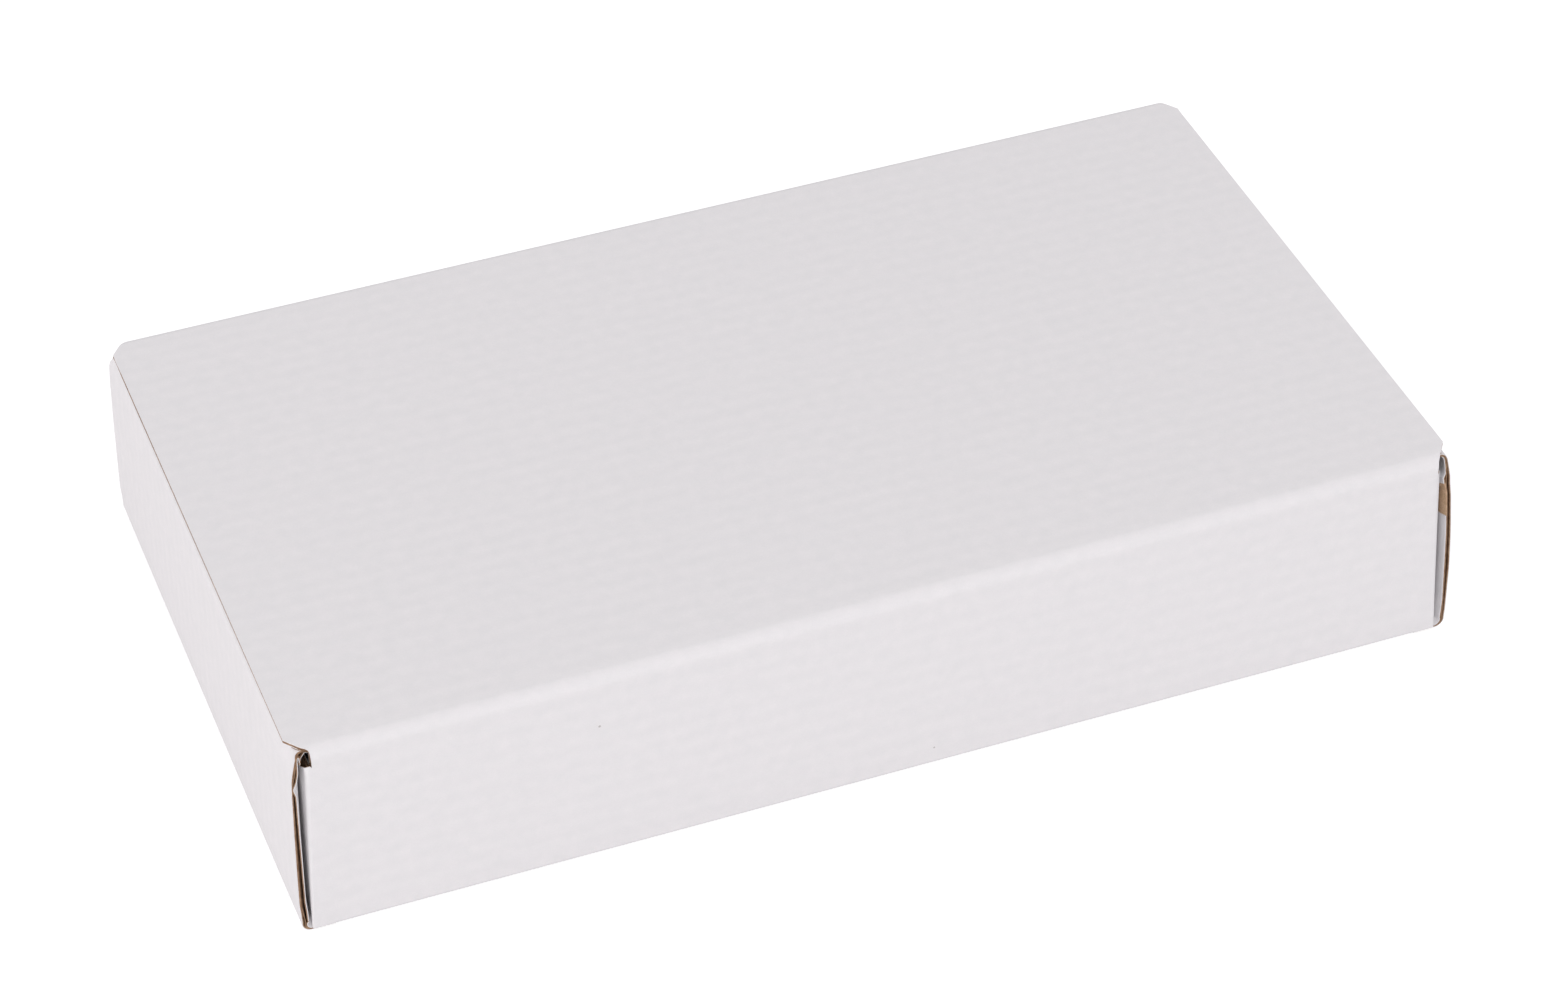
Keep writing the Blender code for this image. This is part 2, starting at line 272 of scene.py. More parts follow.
def washboard_group():
    """The fluting's ridges, which press faintly through the liner, from U along and V across them."""
    group, ends, out = node_group(
        "washboard",
        [("UV", "NodeSocketVector", None), ("Pitch", "NodeSocketFloat", FLUTE_PITCH)],
        ["Ridge"])
    link = group.links.new
    apart = add_node(group, "SeparateXYZ")
    link(ends.outputs["UV"], apart.inputs[0])
    drift = add_node(group, "TexNoise")
    drift.inputs["Scale"].default_value = 30.0
    link(ends.outputs["UV"], drift.inputs["Vector"])
    shift = add_node(group, "Math", operation="MULTIPLY_ADD")
    shift.inputs[1].default_value = 0.3 * MM
    link(drift.outputs["Fac"], shift.inputs[0])
    link(apart.outputs["Y"], shift.inputs[2])
    turns = add_node(group, "Math", operation="DIVIDE")
    link(shift.outputs[0], turns.inputs[0])
    link(ends.outputs["Pitch"], turns.inputs[1])
    angle = add_node(group, "Math", operation="MULTIPLY")
    angle.inputs[1].default_value = math.tau
    link(turns.outputs[0], angle.inputs[0])
    wave = add_node(group, "Math", operation="COSINE")
    link(angle.outputs[0], wave.inputs[0])
    ridge = add_node(group, "Math", operation="MULTIPLY_ADD")
    ridge.inputs[1].default_value = 0.5
    ridge.inputs[2].default_value = 0.5
    link(wave.outputs[0], ridge.inputs[0])
    link(ridge.outputs[0], out.inputs["Ridge"])
    return group


def use_group(tree, group):
    made = tree.nodes.new("ShaderNodeGroup")
    made.node_tree = group
    return made


def mix_colour(tree, share, first, second):
    """A colour mix; share is a socket or a number, and first and second are sockets or colours."""
    made = add_node(tree, "Mix", data_type="RGBA")
    slots = [s for s in made.inputs if s.enabled]
    for socket, value in zip(slots, (share, first, second)):
        if isinstance(value, bpy.types.NodeSocket):
            tree.links.new(value, socket)
        elif isinstance(value, tuple):
            socket.default_value = (*value, 1.0)
        else:
            socket.default_value = value
    return next(s for s in made.outputs if s.enabled)


def map_value(tree, value, low, high, new_low, new_high):
    made = add_node(tree, "MapRange")
    tree.links.new(value, made.inputs["Value"])
    made.inputs["From Min"].default_value = low
    made.inputs["From Max"].default_value = high
    made.inputs["To Min"].default_value = new_low
    made.inputs["To Max"].default_value = new_high
    return made.outputs["Result"]


PAPER_FIBRE = paper_fibre_group()
WASHBOARD = washboard_group()


def white_paper():
    """The bleached top layer of the liner: matt, slightly warm, cloudy, with faint flute stripes, painted shade
    that darkens the troughs between the ridges.
    """
    paper = bpy.data.materials.new("white_liner")
    paper.use_nodes = True
    tree = paper.node_tree
    shader = tree.nodes["Principled BSDF"]
    place = add_node(tree, "TexCoord")
    flutes = add_node(tree, "UVMap", uv_map="flutes")
    fibre = use_group(tree, PAPER_FIBRE)
    tree.links.new(place.outputs["Object"], fibre.inputs["Vector"])
    board = use_group(tree, WASHBOARD)
    tree.links.new(flutes.outputs["UV"], board.inputs["UV"])
    clouds = map_value(tree, fibre.outputs["Cloud"], 0.3, 0.7, 0.0, 1.0)
    colour = mix_colour(tree, clouds, WHITE_A, WHITE_B)
    grain = map_value(tree, fibre.outputs["Fibre"], 0.3, 0.7, 0.0, 0.22)
    colour = mix_colour(tree, grain, colour, srgb(216, 213, 214))
    # Painted shade: the troughs between the flute ridges are coloured darker, besides the bump that raises the
    # ridges.
    trough_shade = map_value(tree, board.outputs["Ridge"], 0.0, 1.0, 0.10, 0.0)
    colour = mix_colour(tree, trough_shade, colour, srgb(214, 211, 213))
    specks = map_value(tree, fibre.outputs["Speck"], 0.0, 1.0, 0.0, 0.45)
    colour = mix_colour(tree, specks, colour, srgb(120, 108, 98))
    tree.links.new(colour, shader.inputs["Base Color"])
    roughness = map_value(tree, fibre.outputs["Fibre"], 0.2, 0.8, 0.66, 0.8)
    tree.links.new(roughness, shader.inputs["Roughness"])
    shader.inputs["Specular IOR Level"].default_value = 0.25
    ridges = add_node(tree, "Bump")
    ridges.inputs["Distance"].default_value = 0.010 * MM
    tree.links.new(board.outputs["Ridge"], ridges.inputs["Height"])
    tooth = add_node(tree, "Bump")
    tooth.inputs["Distance"].default_value = 0.006 * MM
    tree.links.new(fibre.outputs["Fibre"], tooth.inputs["Height"])
    tree.links.new(ridges.outputs["Normal"], tooth.inputs["Normal"])
    tree.links.new(tooth.outputs["Normal"], shader.inputs["Normal"])
    return paper


def kraft_paper(name, light, dark):
    """Unbleached paper: the liner's base, which shows at the cut edges, and the fluting."""
    paper = bpy.data.materials.new(name)
    paper.use_nodes = True
    tree = paper.node_tree
    shader = tree.nodes["Principled BSDF"]
    place = add_node(tree, "TexCoord")
    fibre = use_group(tree, PAPER_FIBRE)
    fibre.inputs["Cloud Scale"].default_value = 900.0
    fibre.inputs["Fibre Scale"].default_value = 5200.0
    tree.links.new(place.outputs["Object"], fibre.inputs["Vector"])
    clouds = map_value(tree, fibre.outputs["Cloud"], 0.32, 0.68, 0.0, 1.0)
    colour = mix_colour(tree, clouds, light, dark)
    grain = map_value(tree, fibre.outputs["Fibre"], 0.3, 0.7, 0.0, 0.35)
    colour = mix_colour(tree, grain, colour, srgb(104, 78, 58))
    tree.links.new(colour, shader.inputs["Base Color"])
    roughness = map_value(tree, fibre.outputs["Fibre"], 0.2, 0.8, 0.8, 0.95)
    tree.links.new(roughness, shader.inputs["Roughness"])
    shader.inputs["Specular IOR Level"].default_value = 0.2
    tooth = add_node(tree, "Bump")
    tooth.inputs["Distance"].default_value = 0.03 * MM
    tree.links.new(fibre.outputs["Fibre"], tooth.inputs["Height"])
    tree.links.new(tooth.outputs["Normal"], shader.inputs["Normal"])
    return paper


WHITE_LINER = white_paper()
KRAFT_BASE = kraft_paper("kraft_base", KRAFT_A, KRAFT_B)
KRAFT_FLUTING = kraft_paper("kraft_fluting", srgb(166, 136, 110), srgb(120, 92, 70))
# The torn kraft is a pale tan, lighter than the kraft base. This is partly its own torn fibres and partly
# painted light that lifts it against the shade of the gap it lies in.
KRAFT_TORN_PAINTED_LIGHT = kraft_paper("kraft_torn_painted_light", srgb(224, 192, 160), srgb(198, 166, 134))


def start_sheet(name, low, high, cuts=(1, 1)):
    """The first panel of a sheet of paper: a flat grid between two corners, one axis of it flat."""
    bpy.ops.object.select_all(action="DESELECT")
    low, high = Vector(low), Vector(high)
    size = high - low
    flat = min(range(3), key=lambda axis: abs(size[axis]))
    turn = ((0.0, math.pi / 2, 0.0), (math.pi / 2, 0.0, 0.0), (0.0, 0.0, 0.0))[flat]
    spread = ((size.z, size.y, 1.0), (size.x, size.z, 1.0), (size.x, size.y, 1.0))[flat]
    bpy.ops.mesh.primitive_grid_add(x_subdivisions=cuts[0], y_subdivisions=cuts[1], size=1.0,
                                    location=(low + high) / 2, rotation=turn)
    sheet = bpy.context.object
    sheet.name = name
    sheet.data.name = name
    sheet.scale = [abs(value) for value in spread]
    bpy.ops.object.transform_apply(location=True, rotation=True, scale=True)
    while sheet.data.uv_layers:
        sheet.data.uv_layers.remove(sheet.data.uv_layers[0])
    sheet.data.attributes.new("run", "FLOAT", "POINT")
    return sheet


def select_only(piece):
    """Selects this piece alone; another one that is selected would be changed with it."""
    bpy.ops.object.select_all(action="DESELECT")
    piece.select_set(True)
    bpy.context.view_layer.objects.active = piece


def take_up(sheet):
    """Puts this sheet alone in edit mode."""
    select_only(sheet)
    bpy.ops.object.mode_set(mode="EDIT")


def select_verts(sheet, test):
    """Selects the points of the sheet that is in edit mode by their place."""
    bpy.ops.mesh.select_mode(type="VERT")
    bpy.ops.mesh.select_all(action="DESELECT")
    mesh = bmesh.from_edit_mesh(sheet.data)
    for vert in mesh.verts:
        vert.select = test(vert.co)
    mesh.select_flush_mode()
    bmesh.update_edit_mesh(sheet.data)


def mean_run(face, layer):
    return sum(vert[layer] for vert in face.verts) / len(face.verts)


def select_faces(sheet, test):
    """Selects faces of the sheet that is in edit mode; test takes a face and its mean run."""
    bpy.ops.mesh.select_mode(type="FACE")
    bpy.ops.mesh.select_all(action="DESELECT")
    mesh = bmesh.from_edit_mesh(sheet.data)
    layer = mesh.verts.layers.float["run"]
    for face in mesh.faces:
        face.select = test(face, mean_run(face, layer))
    mesh.select_flush_mode()
    bmesh.update_edit_mesh(sheet.data)


def mark_run(sheet, run):
    """Writes on the leading edge how far along the sheet it lies."""
    mesh = bmesh.from_edit_mesh(sheet.data)
    layer = mesh.verts.layers.float["run"]
    for vert in mesh.verts:
        if vert.select:
            vert[layer] = run
    bmesh.update_edit_mesh(sheet.data)
    return run


def lead_from(sheet, test, run):
    """Takes up the sheet by the edge that is drawn on from there."""
    take_up(sheet)
    select_verts(sheet, test)
    return mark_run(sheet, run)


def draw_straight(sheet, run, direction, lengths):
    """Draws the leading edge on in a straight run, with a row at the end of each length."""
    direction = Vector(direction).normalized()
    for length in lengths:
        bpy.ops.mesh.extrude_region_move(TRANSFORM_OT_translate={"value": direction * length})
        run = mark_run(sheet, run + length)
    return run


def draw_fold(sheet, run, centre, axis, angle, radius, steps):
    """Draws the leading edge on round a fold's axis. Its first and last steps are small ones."""
    small = math.copysign(FOLD_LEAD, angle)
    for step in [small] + [(angle - 2 * small) / steps] * steps + [small]:
        bpy.ops.mesh.spin(steps=1, angle=-step, center=centre, axis=axis)
        run = mark_run(sheet, run + abs(step) * radius)
    return run


def put_down():
    bpy.ops.object.mode_set(mode="OBJECT")


def mirrored(places):
    return places + [-place for place in places]


def cut_rows(sheet, normal, places):
    """Cuts new rows of points into the whole sheet, square to normal."""
    take_up(sheet)
    for place in places:
        bpy.ops.mesh.select_all(action="SELECT")
        bpy.ops.mesh.bisect(plane_co=normal * place, plane_no=normal, threshold=CUT_SLACK)
    put_down()


def face_out(sheet, outward):
    """Turns all faces the same way, so that the first one looks along outward."""
    take_up(sheet)
    bpy.ops.mesh.select_mode(type="VERT")
    bpy.ops.mesh.select_all(action="SELECT")
    bpy.ops.mesh.remove_doubles(threshold=MERGE_SLACK)
    bpy.ops.mesh.normals_make_consistent(inside=False)
    mesh = bmesh.from_edit_mesh(sheet.data)
    layer = mesh.verts.layers.float["run"]
    first = min(mesh.faces, key=lambda face: mean_run(face, layer))
    if first.normal.dot(Vector(outward)) < 0:
        bpy.ops.mesh.flip_normals()
    put_down()


def lay_flutes(sheet, across, flutes_run_on):
    """The UV map of the board, in metres: U along the flutes and V across them.

    across is the axis of the creases. The flutes either follow the sheet's run or lie along that axis.
    """
    mesh = sheet.data
    layer = mesh.uv_layers.new(name="flutes")
    run = mesh.attributes["run"].data
    for loop in mesh.loops:
        place = mesh.vertices[loop.vertex_index].co[across]
        length = run[loop.vertex_index].value
        layer.data[loop.index].uv = (length, place) if flutes_run_on else (place, length)


def shape_verts(sheet, move):
    """Moves each point of a sheet: move takes its place and its run and gives its new place."""
    run = sheet.data.attributes["run"].data
    for index, vert in enumerate(sheet.data.vertices):
        vert.co = move(vert.co.copy(), run[index].value)
    sheet.data.update()


def rows_of(sheet):
    """The points of a sheet in rows, by the run that each row shares."""
    run = sheet.data.attributes["run"].data
    rows = {}
    for index, vert in enumerate(sheet.data.vertices):
        rows.setdefault(round(run[index].value, RUN_DIGITS), []).append(vert)
    return rows


def middle_of(row):
    return sum((vert.co for vert in row), Vector()) / len(row)


def squeeze_row(row, axes, keep):
    """Brings a row of the fluting nearer to its middle along two axes, as crushing does."""
    middle = middle_of(row)
    for vert in row:
        for axis in axes:
            vert.co[axis] = middle[axis] + (vert.co[axis] - middle[axis]) * keep


def finish_piece(piece):
    """Smooth shading over the folds with the cut edges kept sharp."""
    select_only(piece)
    bpy.ops.object.shade_smooth_by_angle(angle=SHARP_ANGLE)


def make_liner(sheet):
    """Gives the white sheet its thickness, and then its kraft base on the side away from the white."""
    select_only(sheet)
    sheet.data.materials.clear()
    sheet.data.materials.append(WHITE_LINER)
    sheet.data.materials.append(KRAFT_BASE)
    wall = sheet.modifiers.new("white_ply", "SOLIDIFY")
    wall.thickness = WHITE_PLY
    wall.offset = -1.0
    wall.material_offset = 1
    wall.material_offset_rim = 0
    bpy.ops.object.modifier_apply(modifier=wall.name)
    bpy.ops.object.mode_set(mode="EDIT")
    select_faces(sheet, lambda face, run: face.material_index == 1)
    bpy.ops.mesh.extrude_region_shrink_fatten(TRANSFORM_OT_shrink_fatten={"value": KRAFT_PLY})
    mesh = bmesh.from_edit_mesh(sheet.data)
    for face in mesh.faces:
        if face.select:
            for edge in face.edges:
                for side in edge.link_faces:
                    side.material_index = 1
    bmesh.update_edit_mesh(sheet.data)
    put_down()
    finish_piece(sheet)


def smooth_step(low, high, value):
    share = min(max((value - low) / (high - low), 0.0), 1.0)
    return share * share * (3 - 2 * share)


def between(points, value):
    """Reads a polyline of (place, size) points, which goes on level past its ends."""
    if value <= points[0][0]:
        return points[0][1]
    for (low, first), (high, second) in zip(points, points[1:]):
        if value <= high:
            return first + (second - first) * (value - low) / (high - low)
    return points[-1][1]


def edge_wobble(place, seed):
    """A small, slow deviation along a cut edge; the same each run."""
    return WOBBLE_SIZE * noise.noise(Vector((place / WOBBLE_LENGTH, seed, 0.5 * seed)))


X_AXIS, Y_AXIS, Z_AXIS = Vector((1, 0, 0)), Vector((0, 1, 0)), Vector((0, 0, 1))
QUARTER = math.pi / 2
FLAT_Y = DEPTH_HALF - LONG_FOLD
HIGH_FOLD_Z = HEIGHT - LONG_FOLD


def tube_reach(side, y, z, angle):
    """How far the tube's board reaches to one side, by the row's place on the outer face."""
    cut = CUT_REACH[side]
    if angle is not None:
        return between(cut, math.degrees(angle)) * MM
    if z > HIGH_FOLD_Z + SLACK:
        past =max(abs(y) - CUT_START, 0.0) / (FLAT_Y - CUT_START)
        return TOP_END + (cut[0][1] * MM - TOP_END) * min(past, 1.0)
    if z > RELIEF_FOOT + RELIEF_STEP / 2:
        return cut[-1][1] * MM
    return WALL_END


def side_of(co):
    return 1 if co.x > 0 else -1


def fold_angle(co):
    """How far round the tube's upper folds a point lies, from the top, or None beside them."""
    if abs(co.y) > FLAT_Y + CUT_SLACK and co.z > HIGH_FOLD_Z + CUT_SLACK:
        return math.atan2(abs(co.y) - FLAT_Y, co.z - HIGH_FOLD_Z)
    return None


def tube_sheet(name, depth):
    """The tube's sheet, depth under its outer face, from the back's raw edge to the glue flap."""
    radius = LONG_FOLD - depth
    flap_radius = SHORT_FOLD - depth
    back_foot = back_low.z
    sheet = start_sheet(name, (-WALL_END, DEPTH_HALF - depth, back_foot),
                        (WALL_END, DEPTH_HALF - depth, RELIEF_FOOT))
    run = lead_from(sheet, lambda co: co.z > RELIEF_FOOT - WIDE_SLACK, RELIEF_FOOT - back_foot)
    relief = HIGH_FOLD_Z - RELIEF_FOOT - RELIEF_STEP
    run = draw_straight(sheet, run, Z_AXIS, [RELIEF_STEP, relief])
    run = draw_fold(sheet, run, (0, FLAT_Y, HIGH_FOLD_Z), X_AXIS, QUARTER, radius, FOLD_STEPS)
    corner = [FLAT_Y - CUT_START, *TOP_ROWS]
    middle = 2 * FLAT_Y - 2 * sum(corner)
    run = draw_straight(sheet, run, -Y_AXIS, corner + [middle] + corner[::-1])
    run = draw_fold(sheet, run, (0, -FLAT_Y, HIGH_FOLD_Z), X_AXIS, QUARTER, radius, FOLD_STEPS)
    foot = BOTTOM_FOLD if depth < BOTTOM_FOLD else LONG_FOLD
    run = draw_straight(sheet, run, -Z_AXIS, [relief, RELIEF_STEP, RELIEF_FOOT - foot])
    run = draw_fold(sheet, run, (0, foot - DEPTH_HALF, foot), X_AXIS, QUARTER, foot - depth, FOLD_STEPS)
    rear = GLUE_FACE - SHORT_FOLD
    run = draw_straight(sheet, run, Y_AXIS, [DEPTH_HALF - foot + rear])
    put_down()
    cut_rows(sheet, X_AXIS, [-GLUE_FOOT, GLUE_FOOT])
    lead_from(sheet, lambda co: abs(co.y - rear) < SLACK and co.z < BOARD + WIDE_SLACK
              and abs(co.x) < GLUE_FOOT + WIDE_SLACK, run)
    run = draw_fold(sheet, run, (0, rear, SHORT_FOLD), X_AXIS, QUARTER, flap_radius, GLUE_FOLD_STEPS)
    draw_straight(sheet, run, Z_AXIS, [glue_high.z - SHORT_FOLD])
    put_down()

    def trim(co, run_here):
        side = side_of(co)
        z = co.z
        if abs(co.x) < GLUE_FOOT + SLACK:
            inside = rear + SLACK < co.y < GLUE_FACE + SLACK
            if inside and z > glue_high.z - WIDE_SLACK:
                co.x = side * GLUE_HEAD
            return co
        if abs(co.x) < WALL_END - WIDE_SLACK or z < 2 * LONG_FOLD:
            return co
        reach = tube_reach(side, co.y, z, fold_angle(co))
        wobble = edge_wobble(run_here, WOBBLE_SEED + side) if reach > WALL_END + SLACK else 0.0
        co.x = side * (reach + wobble)
        return co

    shape_verts(sheet, trim)
    cut_rows(sheet, X_AXIS, mirrored(TUBE_END_ROWS))
    return sheet


tube_outer = tube_sheet("tube_outer_liner", 0.0)
face_out(tube_outer, Y_AXIS)
lay_flutes(tube_outer, 0, False)
make_liner(tube_outer)
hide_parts("back_panel", "back_top_crease", "top_panel", "front_top_crease", "front_panel",
            "front_bottom_crease", "bottom_panel", "glue_flap_crease", "glue_flap")
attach(tube_outer, "carton_tube")


# Inner liner of the tube: the same sheet again on the board's inner side, its white face inwards.
# At the raw ends of the top panel it is pressed up against the outer liner.
CRUSH_KEEP = 0.42                       # of the board's thickness, at the raw ends
CRUSH_START = 0.15 * MM                 # from the end: all crushed up to here
CRUSH_END = 4.2 * MM                    # and whole from here
CRUSH_AT_CUT = 0.75                     # how much nearer the corner cut brings that end
CRUSH_IN_FOLD = 0.6                     # of the fold's radius, over which it fades out


def crush_top(co, run_here):
    """Presses the top panel's board together towards its raw ends; its upper face stays flat."""
    if co.z < HIGH_FOLD_Z or abs(co.y) > FLAT_Y + LONG_FOLD:
        return co
    from_end = TOP_END - abs(co.x)
    over_cut = max(abs(co.y) - CUT_START, 0.0)
    from_edge = from_end - over_cut * CRUSH_AT_CUT
    keep = CRUSH_KEEP + (1.0 - CRUSH_KEEP) * smooth_step(CRUSH_START, CRUSH_END, from_edge)
    drop = HEIGHT - co.z
    if abs(co.y) > FLAT_Y:
        fade = max(0.0, 1.0 - (abs(co.y) - FLAT_Y) / (CRUSH_IN_FOLD * LONG_FOLD))
        keep = 1.0 - (1.0 - keep) * fade
    co.z = HEIGHT - drop * keep
    return co


tube_inner = tube_sheet("tube_inner_liner", BOARD)
shape_verts(tube_inner, crush_top)
face_out(tube_inner, -Y_AXIS)
lay_flutes(tube_inner, 0, False)
make_liner(tube_inner)
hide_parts("back_panel", "top_panel", "front_panel", "bottom_panel")
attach(tube_inner, "carton_tube")


# Fluting of the tube's panels: brown paper in waves along the carton, glued between the liners.
# One wave is drawn and repeated across each panel. In the folds along X it lies crushed.
FLUTING_PLY = 0.18 * MM
MIDDLE = BOARD / 2
WAVE_STEPS = 8
WAVE_HEIGHT = (BOARD - 2 * LINER - FLUTING_PLY) / 2
SET_BACK = 0.04 * MM                    # the fluting's cut edge lies just inside the liners'
TOP_FLUTES = 32
BOTTOM_FLUTES = 31
BOTTOM_MIDDLE_Y = -0.9 * MM             # the waves' middle, between two different folds
WALL_FLUTES = 9
GLUE_FLUTES = 7
FOLD_LAP = 0.9 * MM                     # how far a fold's crushed fluting runs on beside the fold
CRUMPLE = 0.2                           # how much that fluting's radius varies, and how often
CRUMPLE_WAVES = 2.5
CRUMPLE_STEPS = 14


def fluting_of_panel(name, count, half_length, stations, place, turn):
    """A panel's fluting: one wave, drawn in steps, repeated count times and put in its place.

    It is drawn flat round the origin with its flutes along X, turned about X and moved to place.
    """
    bpy.ops.object.select_all(action="DESELECT")
    bpy.ops.mesh.primitive_grid_add(x_subdivisions=1, y_subdivisions=WAVE_STEPS, size=1.0)
    piece = bpy.context.object
    piece.name = name
    piece.data.name = name
    piece.scale = (2 * half_length, FLUTE_PITCH, 1.0)
    bpy.ops.object.transform_apply(location=True, rotation=True, scale=True)
    first = (1 - count) * FLUTE_PITCH / 2
    take_up(piece)
    bpy.ops.mesh.select_all(action="SELECT")
    bpy.ops.transform.translate(value=(0.0, first, 0.0))
    put_down()
    for vert in piece.data.vertices:
        turns = (vert.co.y - first) / FLUTE_PITCH
        vert.co.z = -WAVE_HEIGHT * math.cos(turns * math.tau)
    rows = piece.modifiers.new("waves", "ARRAY")
    rows.use_relative_offset = False
    rows.use_constant_offset = True
    rows.constant_offset_displace = (0.0, FLUTE_PITCH, 0.0)
    rows.count = count
    rows.use_merge_vertices = True
    rows.merge_threshold = SLACK
    bpy.ops.object.modifier_apply(modifier=rows.name)
    cut_rows(piece, X_AXIS, mirrored(stations))
    piece.rotation_euler = turn
    piece.location = place
    bpy.ops.object.transform_apply(location=True, rotation=True, scale=True)
    return piece


def make_fluting(piece, kraft=KRAFT_FLUTING):
    """Gives the waves their paper thickness."""
    select_only(piece)
    piece.data.materials.clear()
    piece.data.materials.append(kraft)
    wall = piece.modifiers.new("paper", "SOLIDIFY")
    wall.thickness = FLUTING_PLY
    wall.offset = 0.0
    bpy.ops.object.modifier_apply(modifier=wall.name)
    finish_piece(piece)


top_fluting = fluting_of_panel("top_fluting", TOP_FLUTES, WALL_END, TUBE_END_ROWS[4:5],
                               (0, 0, HEIGHT - MIDDLE), (0, 0, 0))
for vert in top_fluting.data.vertices:
    if abs(vert.co.x) > WALL_END - WIDE_SLACK:
        side = side_of(vert.co)
        vert.co.x = side * (tube_reach(side, vert.co.y, HEIGHT, None) - SET_BACK)
cut_rows(top_fluting, X_AXIS, [side * x for side in (-1, 1) for x in TUBE_END_ROWS[:4]])
for vert in top_fluting.data.vertices:
    vert.co = crush_top(vert.co.copy(), 0.0)
make_fluting(top_fluting)
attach(top_fluting, "carton_tube")

bottom_fluting = fluting_of_panel("bottom_fluting", BOTTOM_FLUTES, WALL_END - SET_BACK, [],
                                  (0, BOTTOM_MIDDLE_Y, MIDDLE), (0, 0, 0))
make_fluting(bottom_fluting)
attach(bottom_fluting, "carton_tube")

wall_middle = (LONG_FOLD + HIGH_FOLD_Z) / 2
for name, y in (("front_fluting", MIDDLE - DEPTH_HALF), ("back_fluting", DEPTH_HALF - MIDDLE)):
    wall_fluting = fluting_of_panel(name, WALL_FLUTES, WALL_END - SET_BACK, [],
                                    (0, y, wall_middle), (QUARTER, 0, 0))
    make_fluting(wall_fluting)
    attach(wall_fluting, "carton_tube")

glue_middle =(SHORT_FOLD + glue_high.z) / 2
glue_fluting = fluting_of_panel("glue_flap_fluting", GLUE_FLUTES, GLUE_FOOT, [],
                                (0, GLUE_FACE - MIDDLE, glue_middle), (QUARTER, 0, 0))
for vert in glue_fluting.data.vertices:
    up = (vert.co.z - SHORT_FOLD) / (glue_high.z - SHORT_FOLD)
    reach = GLUE_FOOT + (GLUE_HEAD - GLUE_FOOT) * up - SET_BACK
    vert.co.x = math.copysign(reach, vert.co.x)
make_fluting(glue_fluting)
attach(glue_fluting, "carton_tube")


def fold_fluting(name, wall, high):
    """The crushed fluting in a long fold of the tube; wall is -1 for the front and 1 for the back."""
    z, fold_z, angle = (HEIGHT - MIDDLE, HIGH_FOLD_Z, -wall * QUARTER)
    if not high:
        z, fold_z, angle = (MIDDLE, LONG_FOLD, wall * QUARTER)
    near = sorted((wall * (FLAT_Y - FOLD_LAP), wall * FLAT_Y))
    sheet = start_sheet(name, (-WALL_END, near[0], z), (WALL_END, near[1], z))
    run = lead_from(sheet, lambda co: abs(co.y) > FLAT_Y - SLACK, FOLD_LAP)
    centre = (0, wall * FLAT_Y, fold_z)
    run = draw_fold(sheet, run, centre, X_AXIS, angle, LONG_FOLD - MIDDLE, CRUMPLE_STEPS)
    draw_straight(sheet, run, -Z_AXIS if high else Z_AXIS, [FOLD_LAP])
    put_down()
    for vert in sheet.data.vertices:
        side = side_of(vert.co)
        if high:
            vert.co.x = side * (tube_reach(side, vert.co.y, vert.co.z, fold_angle(vert.co)) - SET_BACK)
        arm = Vector((0, vert.co.y - wall * FLAT_Y, vert.co.z - fold_z))
        if arm.y * wall > SLACK and (arm.z > 0) == high:
            turned = math.atan2(abs(arm.y), abs(arm.z)) / QUARTER
            wave = math.sin(turned * CRUMPLE_WAVES * math.tau)
            arm *= 1 + CRUMPLE * wave * math.sin(turned * math.pi)
            vert.co = Vector((vert.co.x, wall * FLAT_Y + arm.y, fold_z + arm.z))
    make_fluting(sheet)
    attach(sheet, "carton_tube")


fold_fluting("front_top_crease_fluting", -1, True)
fold_fluting("back_top_crease_fluting", 1, True)
fold_fluting("front_bottom_crease_fluting", -1, False)


# Ends of the carton: each closes with a panel that folds up from the bottom and over into a tuck
# flap. Each of its three papers is drawn as one strip, crushed at its cut edges, and then cut into
# crease, panel, crease and flap, so that the creases can bend.
PLY_DEPTH = {"outer_liner": 0.0, "fluting": MIDDLE, "inner_liner": BOARD}
foot_low, foot_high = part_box("left_end_crease")
END_HALF = foot_high.y
FOOT_X = -foot_low.x - SHORT_FOLD            # centre of the foot's fold, out from the middle
joints = {joint["name"]: joint for joint in frame["record"]["behaviour"]["joints"]}
tuck_pivot = Vector(joints["right_tuck_hinge"]["pos_m"])
TAB_START = WALL_END                         # the crease's papers go on from the bottom panel's here
END_LEAN = math.radians(1.5)
PANEL_ROWS = [length * MM for length in [0.4, 1.6] + [2.0] * 11
              + [1.0, 0.9, 0.65, 0.65, 0.3, 0.7, 0.7, 0.7, 0.3]]
PANEL_TOP = 31.65 * MM                       # just over the last of these rows
PANEL_SEAM = 1                               # rows that still belong to the crease at the foot
FOOT_CRUSH = 0.05                            # height that the flutes keep in that crease
FOOT_LOW, FOOT_TOP = 1.3 * SHORT_FOLD, 3 * SHORT_FOLD       # they get it back between these heights
FOOT_PULL = 0.24 * MM                        # how far the panel is pulled in at its foot
BELLY = 0.10 * MM                            # and how far its lower half stands out, between
BELLY_LOW = 5.6 * MM                         # the foot and these heights
BELLY_FADE = (7 * MM, 29 * MM)
HEAD_X = 95.51 * MM                          # centre of the arch that the fold at the head makes
HEAD_Z = 33.95 * MM
HEAD_RADIUS = 1.25 * MM
HEAD_STEPS = 10
HEAD_ROWS = (0.4 * MM, 0.5 * MM)             # first and last row between the panel and the arch
HEAD_CRUSH = 0.1                             # height that the flutes keep in the crease at the head
HEAD_CRUSH_FROM, HEAD_CRUSH_TO = 29 * MM, 32.5 * MM
STEP_IN_Z = 31.3 * MM                        # from this height the panel's sides step in
HEAD_FADE = 15.0 * MM                        # the corners' own shape fades out this far from the edge
